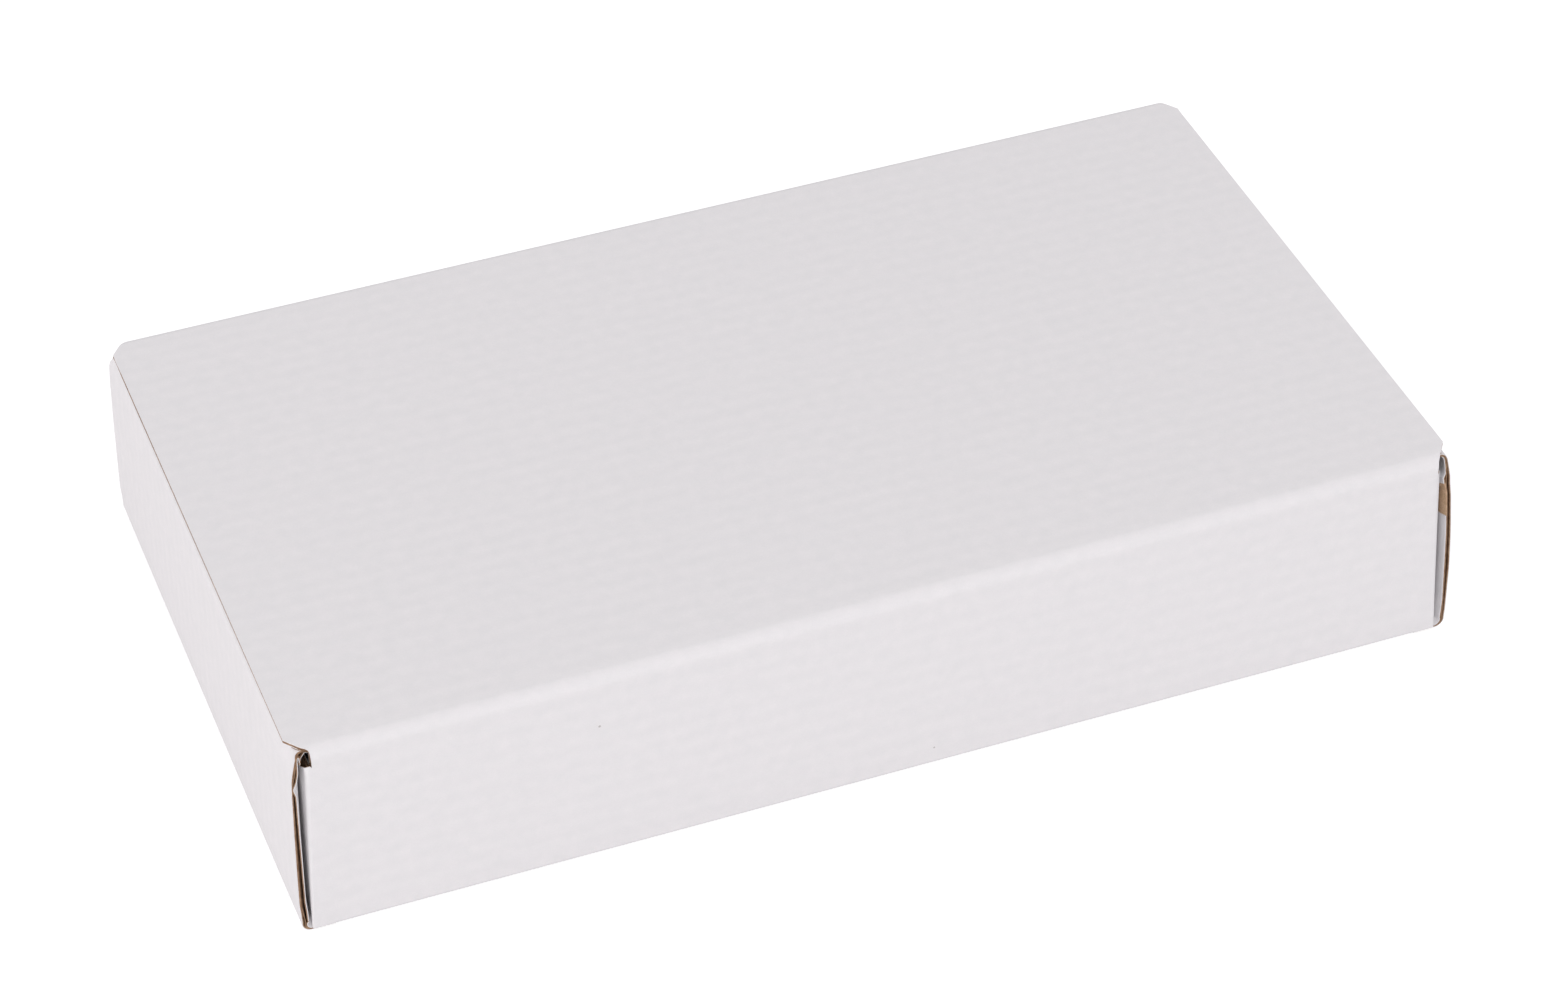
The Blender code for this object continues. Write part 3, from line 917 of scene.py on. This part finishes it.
# At the corners, by height in mm: how far the outer face leans out or in, and what the cut edge
# keeps of the board's thickness. The left edge is squeezed flat at one place.
CORNER_LEAN = {-1: ((2, -0.05), (4, -0.15), (20, -0.08), (28, -0.13), (31, -0.24), (32.2, -0.47),
                    (32.9, -0.83), (33.95, -1.26)),
               1: ((2, 0.15), (14, 0.18), (20.5, 0.08), (27.85, -0.3), (30.9, -0.65), (33.95, -0.68))}
CORNER_RISE = {-1: 0.03 * MM, 1: 0.3 * MM}
EDGE_KEEP = {-1: ((2, 0.76), (4, 0.79), (7, 0.77), (13, 0.74), (23, 0.63), (27.6, 0.57), (28.9, 0.3),
                  (29.2, 0.3), (30.4, 0.62), (31.6, 0.68), (32.2, 1.0)),
             1: ((2, 0.6), (5.5, 0.67), (13, 0.72), (20.5, 0.68), (29, 0.66), (31.6, 0.9), (32.2, 1.0))}
TUCK_STEEP = math.radians(27.0)              # the flap dives under the top panel, then eases
TUCK_SLOPE = math.radians(9.0)
TUCK_LENGTH = 15.0 * MM
TUCK_HALF = 52.7 * MM
TUCK_CORNER = 9.0 * MM
TUCK_SEAM_X = 93.25 * MM                     # the crease's papers end here and the flap's begin
TUCK_SEAM_Z = {"outer_liner": 34.2 * MM, "fluting": 33.72 * MM, "inner_liner": 33.05 * MM}
DIVE_X = 92.7 * MM                           # next row of the flap, and how far it lies over the slope
DIVE_RISE = {"outer_liner": 0.06 * MM, "fluting": 0.05 * MM}
INNER_DIVE_Z = 32.5 * MM
EASE_X = 92.2 * MM                           # from here on the papers follow the slope
WHOLE_X = 91.4 * MM                          # and the flutes are whole again
LEAN_X = 94.4 * MM                           # the corners' own lean fades out from here to WHOLE_X
CREST_HALF = 53.2 * MM
END_FLUTES = 33
EDGE_WIDTH = 1.7 * MM                        # of the crushed strip along a cut edge
TAB_SQUEEZE = 0.72                           # share of its height that the tab's edge loses
BOX_GAP = 0.005 * MM                         # the papers stay this far inside the CAD box
# The fluting's point before its arch, out from the middle and up, and the arch's place in the liner's.
FLUTE_TURN = (96.35 * MM, 32.7 * MM)
FLUTE_GAP = 0.04 * MM
FLUTE_LIFT = 0.02 * MM
# The inner liner's way under the arch, out from the middle and up, in mm. The left one has buckled
# into a V.
INNER_BEAD = {-1: ((95.78, 32.0), (95.95, 32.7), (96.16, 33.4), (96.22, 33.85), (96.17, 34.05),
                   (96.08, 33.95), (95.97, 33.55), (95.86, 33.2), (95.78, 33.12), (95.7, 33.22),
                   (95.5, 33.65), (95.25, 34.15), (95.08, 34.4), (94.9, 34.42), (94.6, 34.2),
                   (94.1, 33.8)),
              1: ((95.9, 32.3), (96.0, 33.2), (96.06, 34.1), (95.98, 34.4), (95.78, 34.62),
                  (95.5, 34.7), (95.2, 34.6), (94.7, 34.25), (94.1, 33.8))}


def tuck_z(u, depth):
    """Height of the tuck flap's papers, by distance out from the middle and depth under its top."""
    return (tuck_pivot.z + (SHORT_FOLD - depth) / math.cos(TUCK_SLOPE)
            - (tuck_pivot.x - u) * math.tan(TUCK_SLOPE))


def draw_through(sheet, run, side, here, points):
    """Draws the leading edge on through points (out from the middle, up)."""
    for point in points:
        move = Vector(((point[0] - here[0]) * side, 0.0, point[1] - here[1]))
        bpy.ops.mesh.extrude_region_move(TRANSFORM_OT_translate={"value": move})
        run = mark_run(sheet, run + move.length)
        here = point
    return run


def way_over_head(side, ply):
    """A paper's way past the panel: the points before its arch, the arch's radius, the points after."""
    depth = PLY_DEPTH[ply]
    seam = (TUCK_SEAM_X, TUCK_SEAM_Z[ply])
    eased = (EASE_X, tuck_z(EASE_X, depth))
    if ply == "inner_liner":
        bead = [(u * MM, z * MM) for u, z in INNER_BEAD[side]]
        return bead + [seam, (DIVE_X, INNER_DIVE_Z), eased], None, []
    after = [seam, (DIVE_X, tuck_z(DIVE_X, depth) + DIVE_RISE[ply]), eased]
    if ply == "outer_liner":
        return None, HEAD_RADIUS, after
    radius = HEAD_RADIUS - LINER - FLUTING_PLY / 2 - FLUTE_GAP
    return [FLUTE_TURN, (HEAD_X + radius, HEAD_Z + FLUTE_LIFT)], radius, after


def wave_sheet(sheet, across, up, low, high, count, level, sign):
    """Bends a flat sheet into count waves between low and high along one axis, up and down another."""
    for vert in sheet.data.vertices:
        turns = count * (vert.co[across] - low) / (high - low)
        vert.co[up] = level + sign * WAVE_HEIGHT * math.cos(turns * math.tau)


def end_sheet(name, side, ply):
    """One paper of an end, from the tab under the dust flaps to the tuck flap; side is -1 or 1."""
    depth = PLY_DEPTH[ply]
    columns = END_FLUTES * WAVE_STEPS if ply == "fluting" else 1
    ends = sorted((side * TAB_START, side * FOOT_X))
    sheet = start_sheet(name, (ends[0], -END_HALF, depth), (ends[1], END_HALF, depth), (1, columns))
    if ply == "fluting":
        wave_sheet(sheet, 1, 2, -END_HALF, END_HALF, END_FLUTES, depth, side)
    run = lead_from(sheet, lambda co: side * co.x > FOOT_X - SLACK, FOOT_X - TAB_START)
    seams = []
    rise = QUARTER - END_LEAN
    centre = (side * FOOT_X, 0, SHORT_FOLD)
    run = draw_fold(sheet, run, centre, Y_AXIS, -side * rise, SHORT_FOLD - depth, FOLD_STEPS)
    up = Vector((-side * math.sin(END_LEAN), 0.0, math.cos(END_LEAN)))
    run = draw_straight(sheet, run, up, PANEL_ROWS[:PANEL_SEAM])
    seams.append(run)
    run = draw_straight(sheet, run, up, PANEL_ROWS[PANEL_SEAM:])
    seams.append(run)
    out = SHORT_FOLD - depth
    panel = sum(PANEL_ROWS)
    here = (FOOT_X + out * math.cos(END_LEAN) - panel * math.sin(END_LEAN),
            SHORT_FOLD + out * math.sin(END_LEAN) + panel * math.cos(END_LEAN))
    before, radius, after = way_over_head(side, ply)
    if before is None:
        left = HEAD_Z + radius * math.sin(END_LEAN) - here[1]
        first_row, last_row = HEAD_ROWS
        run = draw_straight(sheet, run, up, [first_row, left - first_row - last_row, last_row])
    else:
        run = draw_through(sheet, run, side, here, before)
        here = before[-1]
    if radius:
        over = rise + TUCK_STEEP
        centre = (side * HEAD_X, 0, HEAD_Z)
        run = draw_fold(sheet, run, centre, Y_AXIS, -side * over, radius, HEAD_STEPS)
        here = (HEAD_X - radius * math.sin(TUCK_STEEP), HEAD_Z + radius * math.cos(TUCK_STEEP))
        run = draw_through(sheet, run, side, here, after)
        here = after[-1]
    slant = (depth - SHORT_FOLD) * math.sin(TUCK_SLOPE)
    tip = tuck_pivot.x + slant - TUCK_LENGTH * math.cos(TUCK_SLOPE)
    draw_through(sheet, run, side, here, [(u, tuck_z(u, depth)) for u in (WHOLE_X, tip)])
    put_down()
    return sheet, seams


def end_half_width(u, z):
    """The end panel's sides step in round the fold to the narrower tuck flap."""
    if z < FOOT_TOP or u > HEAD_X or (u > TUCK_SEAM_X and z < PANEL_TOP):
        return END_HALF - (END_HALF - CREST_HALF) * smooth_step(STEP_IN_Z, HEAD_Z + HEAD_RADIUS, z)
    return CREST_HALF - (CREST_HALF - TUCK_HALF) * smooth_step(-HEAD_X, -TUCK_SEAM_X, -u)


def end_bow(z, turned):
    """How far the panel bows out: the foot is pulled in, and the lower half stands out a little."""
    rise = smooth_step(SHORT_FOLD, BELLY_LOW, z)
    belly = BELLY * rise * (1.0 - smooth_step(*BELLY_FADE, z))
    return belly - FOOT_PULL * turned * (1.0 - rise)


def shape_end(sheet, side, ply):
    """Presses the cut edges, bows the panel and narrows the flap of one of an end's papers."""
    for row in rows_of(sheet).values():
        middle = middle_of(row)
        u, z = side * middle.x, middle.z
        keep = 1.0
        if z < FOOT_TOP and u > FOOT_X - WIDE_SLACK:
            keep = FOOT_CRUSH + (1.0 - FOOT_CRUSH) * smooth_step(FOOT_LOW, FOOT_TOP, z)
        if z > HEAD_CRUSH_FROM:
            keep = 1.0 - (1.0 - HEAD_CRUSH) * smooth_step(HEAD_CRUSH_FROM, HEAD_CRUSH_TO, z)
            if u < TUCK_SEAM_X + WIDE_SLACK:
                keep = HEAD_CRUSH + (1.0 - HEAD_CRUSH) * smooth_step(-TUCK_SEAM_X, -WHOLE_X, -u)
        if ply == "fluting":
            squeeze_row(row, (0, 2), keep)
        scale = end_half_width(u, z) / END_HALF
        for vert in row:
            vert.co.y *= scale

    def press(co, run_here):
        u, y, z = side * co.x, co.y, co.z
        in_from_edge = max(end_half_width(u, z) - abs(y), 0.0)
        edge = 1.0 - smooth_step(0.0, EDGE_WIDTH, in_from_edge)
        corner = 1.0 - smooth_step(0.0, HEAD_FADE, in_from_edge)
        lean = between(CORNER_LEAN[side], z / MM) * MM * corner
        keep = 1.0 - edge * (1.0 - between(EDGE_KEEP[side], z / MM))
        if u < FOOT_X and z < 2 * BOARD:
            co.z = z * (1.0 - TAB_SQUEEZE * edge)
            return co
        if z < SHORT_FOLD:
            spoke = Vector((u - FOOT_X, z - SHORT_FOLD))
            turned = math.atan2(spoke.x, -spoke.y) / QUARTER
            loss = TAB_SQUEEZE * (1.0 - turned) + (1.0 - EDGE_KEEP[side][0][1]) * turned
            keep = 1.0 - edge * loss
            out = SHORT_FOLD - (SHORT_FOLD - spoke.length) * keep
            spoke = spoke.normalized() * out
            u, z = FOOT_X + spoke.x, SHORT_FOLD + spoke.y
            u += end_bow(z, turned) + lean * turned
        elif z < PANEL_TOP and u > TUCK_SEAM_X:
            face = FOOT_X + SHORT_FOLD / math.cos(END_LEAN) - (z - SHORT_FOLD) * math.tan(END_LEAN)
            u = face - (face - u) * keep + end_bow(z, 1.0) + lean
        else:
            fade = smooth_step(WHOLE_X, LEAN_X, u)
            u += lean * fade
            z += CORNER_RISE[side] * corner * fade * smooth_step(PANEL_TOP, HEAD_Z, z)
        co.x, co.z = side * min(u, FOOT_X + SHORT_FOLD - BOX_GAP), z
        return co

    shape_verts(sheet, press)


def round_tuck_corners(sheet, side):
    """Cuts the flap's two corners round."""
    steps = 6
    tip = tuck_pivot.x - SHORT_FOLD * math.sin(TUCK_SLOPE) - TUCK_LENGTH * math.cos(TUCK_SLOPE)
    take_up(sheet)
    for wall in (-1, 1):
        centre = Vector((side * (tip + TUCK_CORNER), wall * (TUCK_HALF - TUCK_CORNER), 0.0))
        for step in range(steps):
            angle = QUARTER * (step + 0.5) / steps
            away = Vector((-side * math.cos(angle), wall * math.sin(angle), 0.0))
            bpy.ops.mesh.select_all(action="SELECT")
            bpy.ops.mesh.bisect(plane_co=centre + away * TUCK_CORNER, plane_no=away, clear_outer=True,
                                threshold=CUT_SLACK)
    put_down()


def part_from(sheet, name):
    """Makes the selected faces of the sheet that is in edit mode a piece of their own."""
    bpy.ops.mesh.separate(type="SELECTED")
    put_down()
    piece = next(item for item in bpy.context.selected_objects if item != sheet)
    piece.name = name
    piece.data.name = name
    return piece


def take_off(sheet, name, low_run, high_run):
    """Cuts the faces between two runs from a sheet."""
    take_up(sheet)
    select_faces(sheet, lambda face, run: low_run < run < high_run)
    return part_from(sheet, name)


# Torn place in the right panel's inner liner, at its front edge: corners by their Y and Z in mm, and
# the part of the panel round them that may be cut.
TORN_CORNERS = ((-55.0, 30.7), (-53.6, 29.9), (-52.1, 28.5), (-50.6, 26.9), (-50.3, 25.2), (-51.6, 23.9),
                (-52.9, 23.3), (-55.0, 23.6))
TORN_NEAR_Y = -49.0 * MM
TORN_NEAR_Z = (19.6 * MM, 31.7 * MM)
TORN_NEAR_X = HEAD_X - 1.0 * MM


def tear_out(sheet, name, corners):
    """Tears the white off a panel's inner liner between corners; a thin layer of its kraft stays."""
    sides = []
    for (y, z), (next_y, next_z) in zip(corners, corners[1:]):
        sides.append((Vector((0, y * MM, z * MM)), Vector((0, z - next_z, next_y - y)).normalized()))

    def near_tear(face, run):
        middle = face.calc_center_median()
        low, high = TORN_NEAR_Z
        return middle.y < TORN_NEAR_Y and low < middle.z < high and abs(middle.x) > TORN_NEAR_X

    def in_tear(face, run):
        middle = face.calc_center_median()
        inside = all((middle - place).dot(away) < 0 for place, away in sides)
        return inside and abs(middle.x) > TORN_NEAR_X

    take_up(sheet)
    for place, away in sides:
        select_faces(sheet, near_tear)
        bpy.ops.mesh.bisect(plane_co=place, plane_no=away, threshold=CUT_SLACK)
    select_faces(sheet, in_tear)
    torn = part_from(sheet, name)
    face_out(torn, -X_AXIS)
    for vert in torn.data.vertices:
        vert.co.x += WHITE_PLY + FLUTING_PLY / 2
    # The torn layer takes the torn kraft colour, whose pale tan carries painted light.
    make_fluting(torn, KRAFT_TORN_PAINTED_LIGHT)
    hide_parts("right_end_panel")
    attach(torn, "right_end")


# Where each paper of the foot's crease starts to turn with the panel, and where it is all turned, by
# the distance out from the middle and the height.
FOOT_BLEND = {
    "outer_liner": ((FOOT_X, 0.0), (FOOT_X + SHORT_FOLD, SHORT_FOLD)),
    "fluting": ((FOOT_X - 0.5 * MM, MIDDLE),
                (FOOT_X + SHORT_FOLD - MIDDLE - 0.2 * MM, SHORT_FOLD + 0.2 * MM)),
    "inner_liner": ((FOOT_X - 1.0 * MM, BOARD),
                    (FOOT_X + SHORT_FOLD - BOARD - 0.3 * MM, SHORT_FOLD + 0.1 * MM)),
}
END_COLUMNS = [y * MM for y in (54.4, 54.0, 53.5, 52.9, 52.1, 51.0, 49.0, 44.0, 30.0)]
END_PIECES = ("end_crease", "end_panel", "tuck_crease", "tuck_flap")


def make_paper(piece, ply):
    """Makes a sheet the paper that it stands for."""
    if ply == "fluting":
        make_fluting(piece)
    else:
        make_liner(piece)


for side_name, side in (("left", -1), ("right", 1)):
    for ply in PLY_DEPTH:
        sheet, seams = end_sheet(f"{side_name}_{ply}", side, ply)
        if ply != "fluting":
            cut_rows(sheet, Y_AXIS, mirrored(END_COLUMNS))
        run_values = [item.value for item in sheet.data.attributes["run"].data]
        # The outer liner's row at the seam lies further out than that, so its crease takes in one more.
        seam_run = min(value for value, vert in zip(run_values, sheet.data.vertices)
                       if side * vert.co.x < TUCK_SEAM_X + WIDE_SLACK / 2 and vert.co.z > PANEL_TOP)
        shape_end(sheet, side, ply)
        if side > 0 and ply == "inner_liner":
            tear_out(sheet, "right_end_panel_torn_kraft", TORN_CORNERS)
        face_out(sheet, -Z_AXIS if ply == "outer_liner" else Z_AXIS)
        lay_flutes(sheet, 1, True)
        bounds = [0.0, *seams, seam_run]
        for index, node in enumerate(END_PIECES):
            name = f"{side_name}_{node}_{ply}"
            if node == "tuck_flap":
                piece = sheet
                piece.name = name
                piece.data.name = name
                round_tuck_corners(piece, side)
            else:
                piece = take_off(sheet, name, bounds[index], bounds[index + 1])
            make_paper(piece, ply)
            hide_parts(f"{side_name}_{node}")
            if node == "end_crease":
                (low_x, low_z), (high_x, high_z) = FOOT_BLEND[ply]
                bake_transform(piece, "carton_tube", f"{side_name}_end", (side * low_x, 0, low_z),
                         (side * high_x, 0, high_z))
            elif node == "end_panel":
                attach(piece, f"{side_name}_end")
            elif node == "tuck_crease":
                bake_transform(piece, f"{side_name}_end", f"{side_name}_tuck", (side * 96.76 * MM, 0, 33.9 * MM),
                         (side * 94.93 * MM, 0, 35.06 * MM))
            else:
                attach(piece, f"{side_name}_tuck")


# Dust flaps: they continue the front and back panels and turn in behind the end panels. Each is a
# crease that can bend and a flap with a tapered top edge and two round corners, in three papers.
DUST_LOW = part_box("front_left_dust_flap")[0].z
DUST_TOP = 32.2 * MM
DUST_TOE = 0.35 * MM                    # the crease's foot in the front face
DUST_HEEL = 1.6 * MM                    # its inner papers end above the tab of the end's crease
DUST_SHARP = 0.6 * MM                   # the outer liner has creased sharply
DUST_STEP = 93.2 * MM                   # the flat part of its upper edge ends here
DUST_CREST = {-1: ((0, 0.45), (0.2, 0.45), (0.4, 0.3), (0.7, 0.1), (1, 0)),     # upper edge over its chord
              1: ((0, 0), (0.5, 0.9), (0.75, 0.8), (1, 0))}                     # by share of the fold, mm
DUST_LEAN = {-1: (1.03, -0.85), 1: (0.95, -1.06)}       # the fold's shift outwards at foot and head, mm
DUST_EASE = 0.65                        # share of that shift which is gone at the fold's end
DUST_KEEP = ((0, 0.25), (0.5, 0.15), (1, 1.0))          # height of the flutes, by share of the fold
DUST_RISE = 0.6                         # from this share on the foot rises to the flap's
DUST_TAPER = math.radians(9.0)
DUST_CORNER = 4.0 * MM
DUST_ROWS = [length * MM for length in (0.4, 1.6, 26, 3, 1)]
DUST_FLUTES = 9
FIRST_STRIP = 0.05 * MM                 # only starts the sheet, and is taken off again
SHEET_END = 1.0                         # a run, in metres, that lies past the end of every sheet


def dust_sheet(name, side, wall, ply):
    """One paper of a dust flap; side is -1 or 1 along X, wall is -1 for the front and 1 for the back."""
    depth = PLY_DEPTH[ply]
    low, high = DUST_TOE if ply == "outer_liner" else DUST_HEEL, RELIEF_FOOT
    columns = 1
    if ply == "fluting":
        low, high = DUST_LOW, DUST_TOP
        columns = DUST_FLUTES * WAVE_STEPS
    ends = sorted((side * (WALL_END - FIRST_STRIP), side * WALL_END))
    y = wall * (DEPTH_HALF - depth)
    sheet = start_sheet(name, (ends[0], y, low), (ends[1], y, high), (1, columns))
    if ply == "fluting":
        wave_sheet(sheet, 2, 1, low, high, DUST_FLUTES, y, -wall)
    run = lead_from(sheet, lambda co: side * co.x > WALL_END - SLACK, FIRST_STRIP)
    radius = DUST_SHARP if ply == "outer_liner" else SHORT_FOLD
    fold_x = DUST_FOLD_X + SHORT_FOLD - radius
    steps = [fold_x - WALL_END]
    if ply == "outer_liner":
        steps = [DUST_STEP - WALL_END, fold_x - DUST_STEP]
    run = draw_straight(sheet, run, side * X_AXIS, steps)
    fold_runs = [run]
    centre = (side * fold_x, wall * (DEPTH_HALF - radius), 0)
    run = draw_fold(sheet, run, centre, Z_AXIS, -side * wall * QUARTER, radius - depth, FOLD_STEPS)
    if ply == "outer_liner":
        run = draw_straight(sheet, run, -wall * Y_AXIS, [SHORT_FOLD - radius])
    fold_runs.append(run)
    seam = draw_straight(sheet, run, -wall * Y_AXIS, DUST_ROWS[:1])
    draw_straight(sheet, seam, -wall * Y_AXIS, DUST_ROWS[1:])
    put_down()
    return sheet, fold_runs, seam


def shape_dust(sheet, side, wall, ply, fold_runs):
    """Presses the flutes in the crease and gives the crease's foot and upper edge their slant.

    The back flaps have no crest in their upper edge, and their foot isn't shifted.
    """
    fold_start, fold_end = fold_runs
    lean_foot, lean_head = DUST_LEAN[side]
    if wall > 0:
        lean_foot = 0.0
    crested = ply == "outer_liner" and wall < 0
    for run_here, row in rows_of(sheet).items():
        if run_here < fold_start - SLACK:
            continue
        share = min((run_here - fold_start) / (fold_end - fold_start), 1.0)
        for vert in row:
            lean = lean_foot + (lean_head - lean_foot) * vert.co.z / DUST_TOP
            vert.co.x += side * lean * (1.0 - DUST_EASE * share) * MM
        if ply == "fluting":
            squeeze_row(row, (0, 1), between(DUST_KEEP, share))
            continue
        crest = between(DUST_CREST[side], share) * MM if crested else 0.0
        for vert in row:
            if vert.co.z < DUST_TOP / 2:
                vert.co.z += (DUST_LOW - vert.co.z) * smooth_step(DUST_RISE, 1.0, share)
            else:
                vert.co.z = RELIEF_FOOT + (DUST_TOP - RELIEF_FOOT) * share + crest


def trim_dust(sheet, wall, seam):
    """Cuts the flap's taper and its round corners."""
    tip = wall * (DEPTH_HALF - SHORT_FOLD - sum(DUST_ROWS))
    inwards = wall * DUST_CORNER
    heel = wall * (DEPTH_HALF - SHORT_FOLD)
    slope = math.tan(DUST_TAPER)
    cuts = [(Vector((0, heel, DUST_TOP)), Vector((0, -wall * math.sin(DUST_TAPER), math.cos(DUST_TAPER))))]
    low_centre = Vector((0, tip + inwards, DUST_LOW + DUST_CORNER))
    high_z = DUST_TOP - abs(heel - tip - inwards) * slope - DUST_CORNER / math.cos(DUST_TAPER)
    high_centre = Vector((0, tip + inwards, high_z))
    steps = 5
    for step in range(steps):
        angle = QUARTER * (step + 0.5) / steps
        away = Vector((0, -wall * math.cos(angle), -math.sin(angle)))
        cuts.append((low_centre + away * DUST_CORNER, away))
        angle = (QUARTER - DUST_TAPER) * (step + 0.5) / steps
        away = Vector((0, -wall * math.cos(angle), math.sin(angle)))
        cuts.append((high_centre + away * DUST_CORNER, away))
    take_up(sheet)
    for place, away in cuts:
        select_faces(sheet, lambda face, run: run > seam)
        bpy.ops.mesh.bisect(plane_co=place, plane_no=away, clear_outer=True, threshold=CUT_SLACK)
    put_down()


for side_name, side in (("left", -1), ("right", 1)):
    for wall_name, wall in (("front", -1), ("back", 1)):
        flap = f"{wall_name}_{side_name}_dust_flap"
        body = f"{wall_name}_{side_name}_dust"
        for ply in PLY_DEPTH:
            sheet, fold_runs, seam = dust_sheet(f"{flap}_{ply}", side, wall, ply)
            shape_dust(sheet, side, wall, ply, fold_runs)
            trim_dust(sheet, wall, seam)
            face_out(sheet, wall * Y_AXIS if ply == "outer_liner" else -wall * Y_AXIS)
            lay_flutes(sheet, 2, True)
            crease = take_off(sheet, f"{flap}_crease_{ply}", FIRST_STRIP, seam)
            flat = take_off(sheet, f"{flap}_panel_{ply}", seam, SHEET_END)
            bpy.data.objects.remove(sheet, do_unlink=True)
            for piece, node in ((crease, f"{flap}_crease"), (flat, flap)):
                make_paper(piece, ply)
                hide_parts(node)
            start = (side * DUST_FOLD_X, wall * DEPTH_HALF, 0)
            end = (side * (DUST_FOLD_X + SHORT_FOLD), wall * (DEPTH_HALF - SHORT_FOLD), 0)
            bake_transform(crease, "carton_tube", body, start, end)
            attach(flat, body)


# The glue keeps its own solid: a thin dried film between the glue flap and the back panel. It has
# dried yellowish, uneven and slightly glossy.
glue_film = frame["nodes"]["seam_glue"]
dried_glue = bpy.data.materials.new("dried_glue")
dried_glue.use_nodes = True
tree = dried_glue.node_tree
shader = tree.nodes["Principled BSDF"]
place = add_node(tree, "TexCoord")
swirl = use_group(tree, PAPER_FIBRE)
swirl.inputs["Cloud Scale"].default_value = 160.0
swirl.inputs["Fibre Scale"].default_value = 900.0
tree.links.new(place.outputs["Object"], swirl.inputs["Vector"])
glue_colour = mix_colour(tree, swirl.outputs["Cloud"], srgb(232, 228, 212), srgb(206, 199, 176))
tree.links.new(glue_colour, shader.inputs["Base Color"])
glue_roughness = map_value(tree, swirl.outputs["Fibre"], 0.2, 0.8, 0.25, 0.5)
tree.links.new(glue_roughness, shader.inputs["Roughness"])
glue_bump = add_node(tree, "Bump")
glue_bump.inputs["Distance"].default_value = 0.05 * MM
tree.links.new(swirl.outputs["Fibre"], glue_bump.inputs["Height"])
tree.links.new(glue_bump.outputs["Normal"], shader.inputs["Normal"])
for slot in glue_film.material_slots:
    slot.material = dried_glue

bpy.context.view_layer.update()
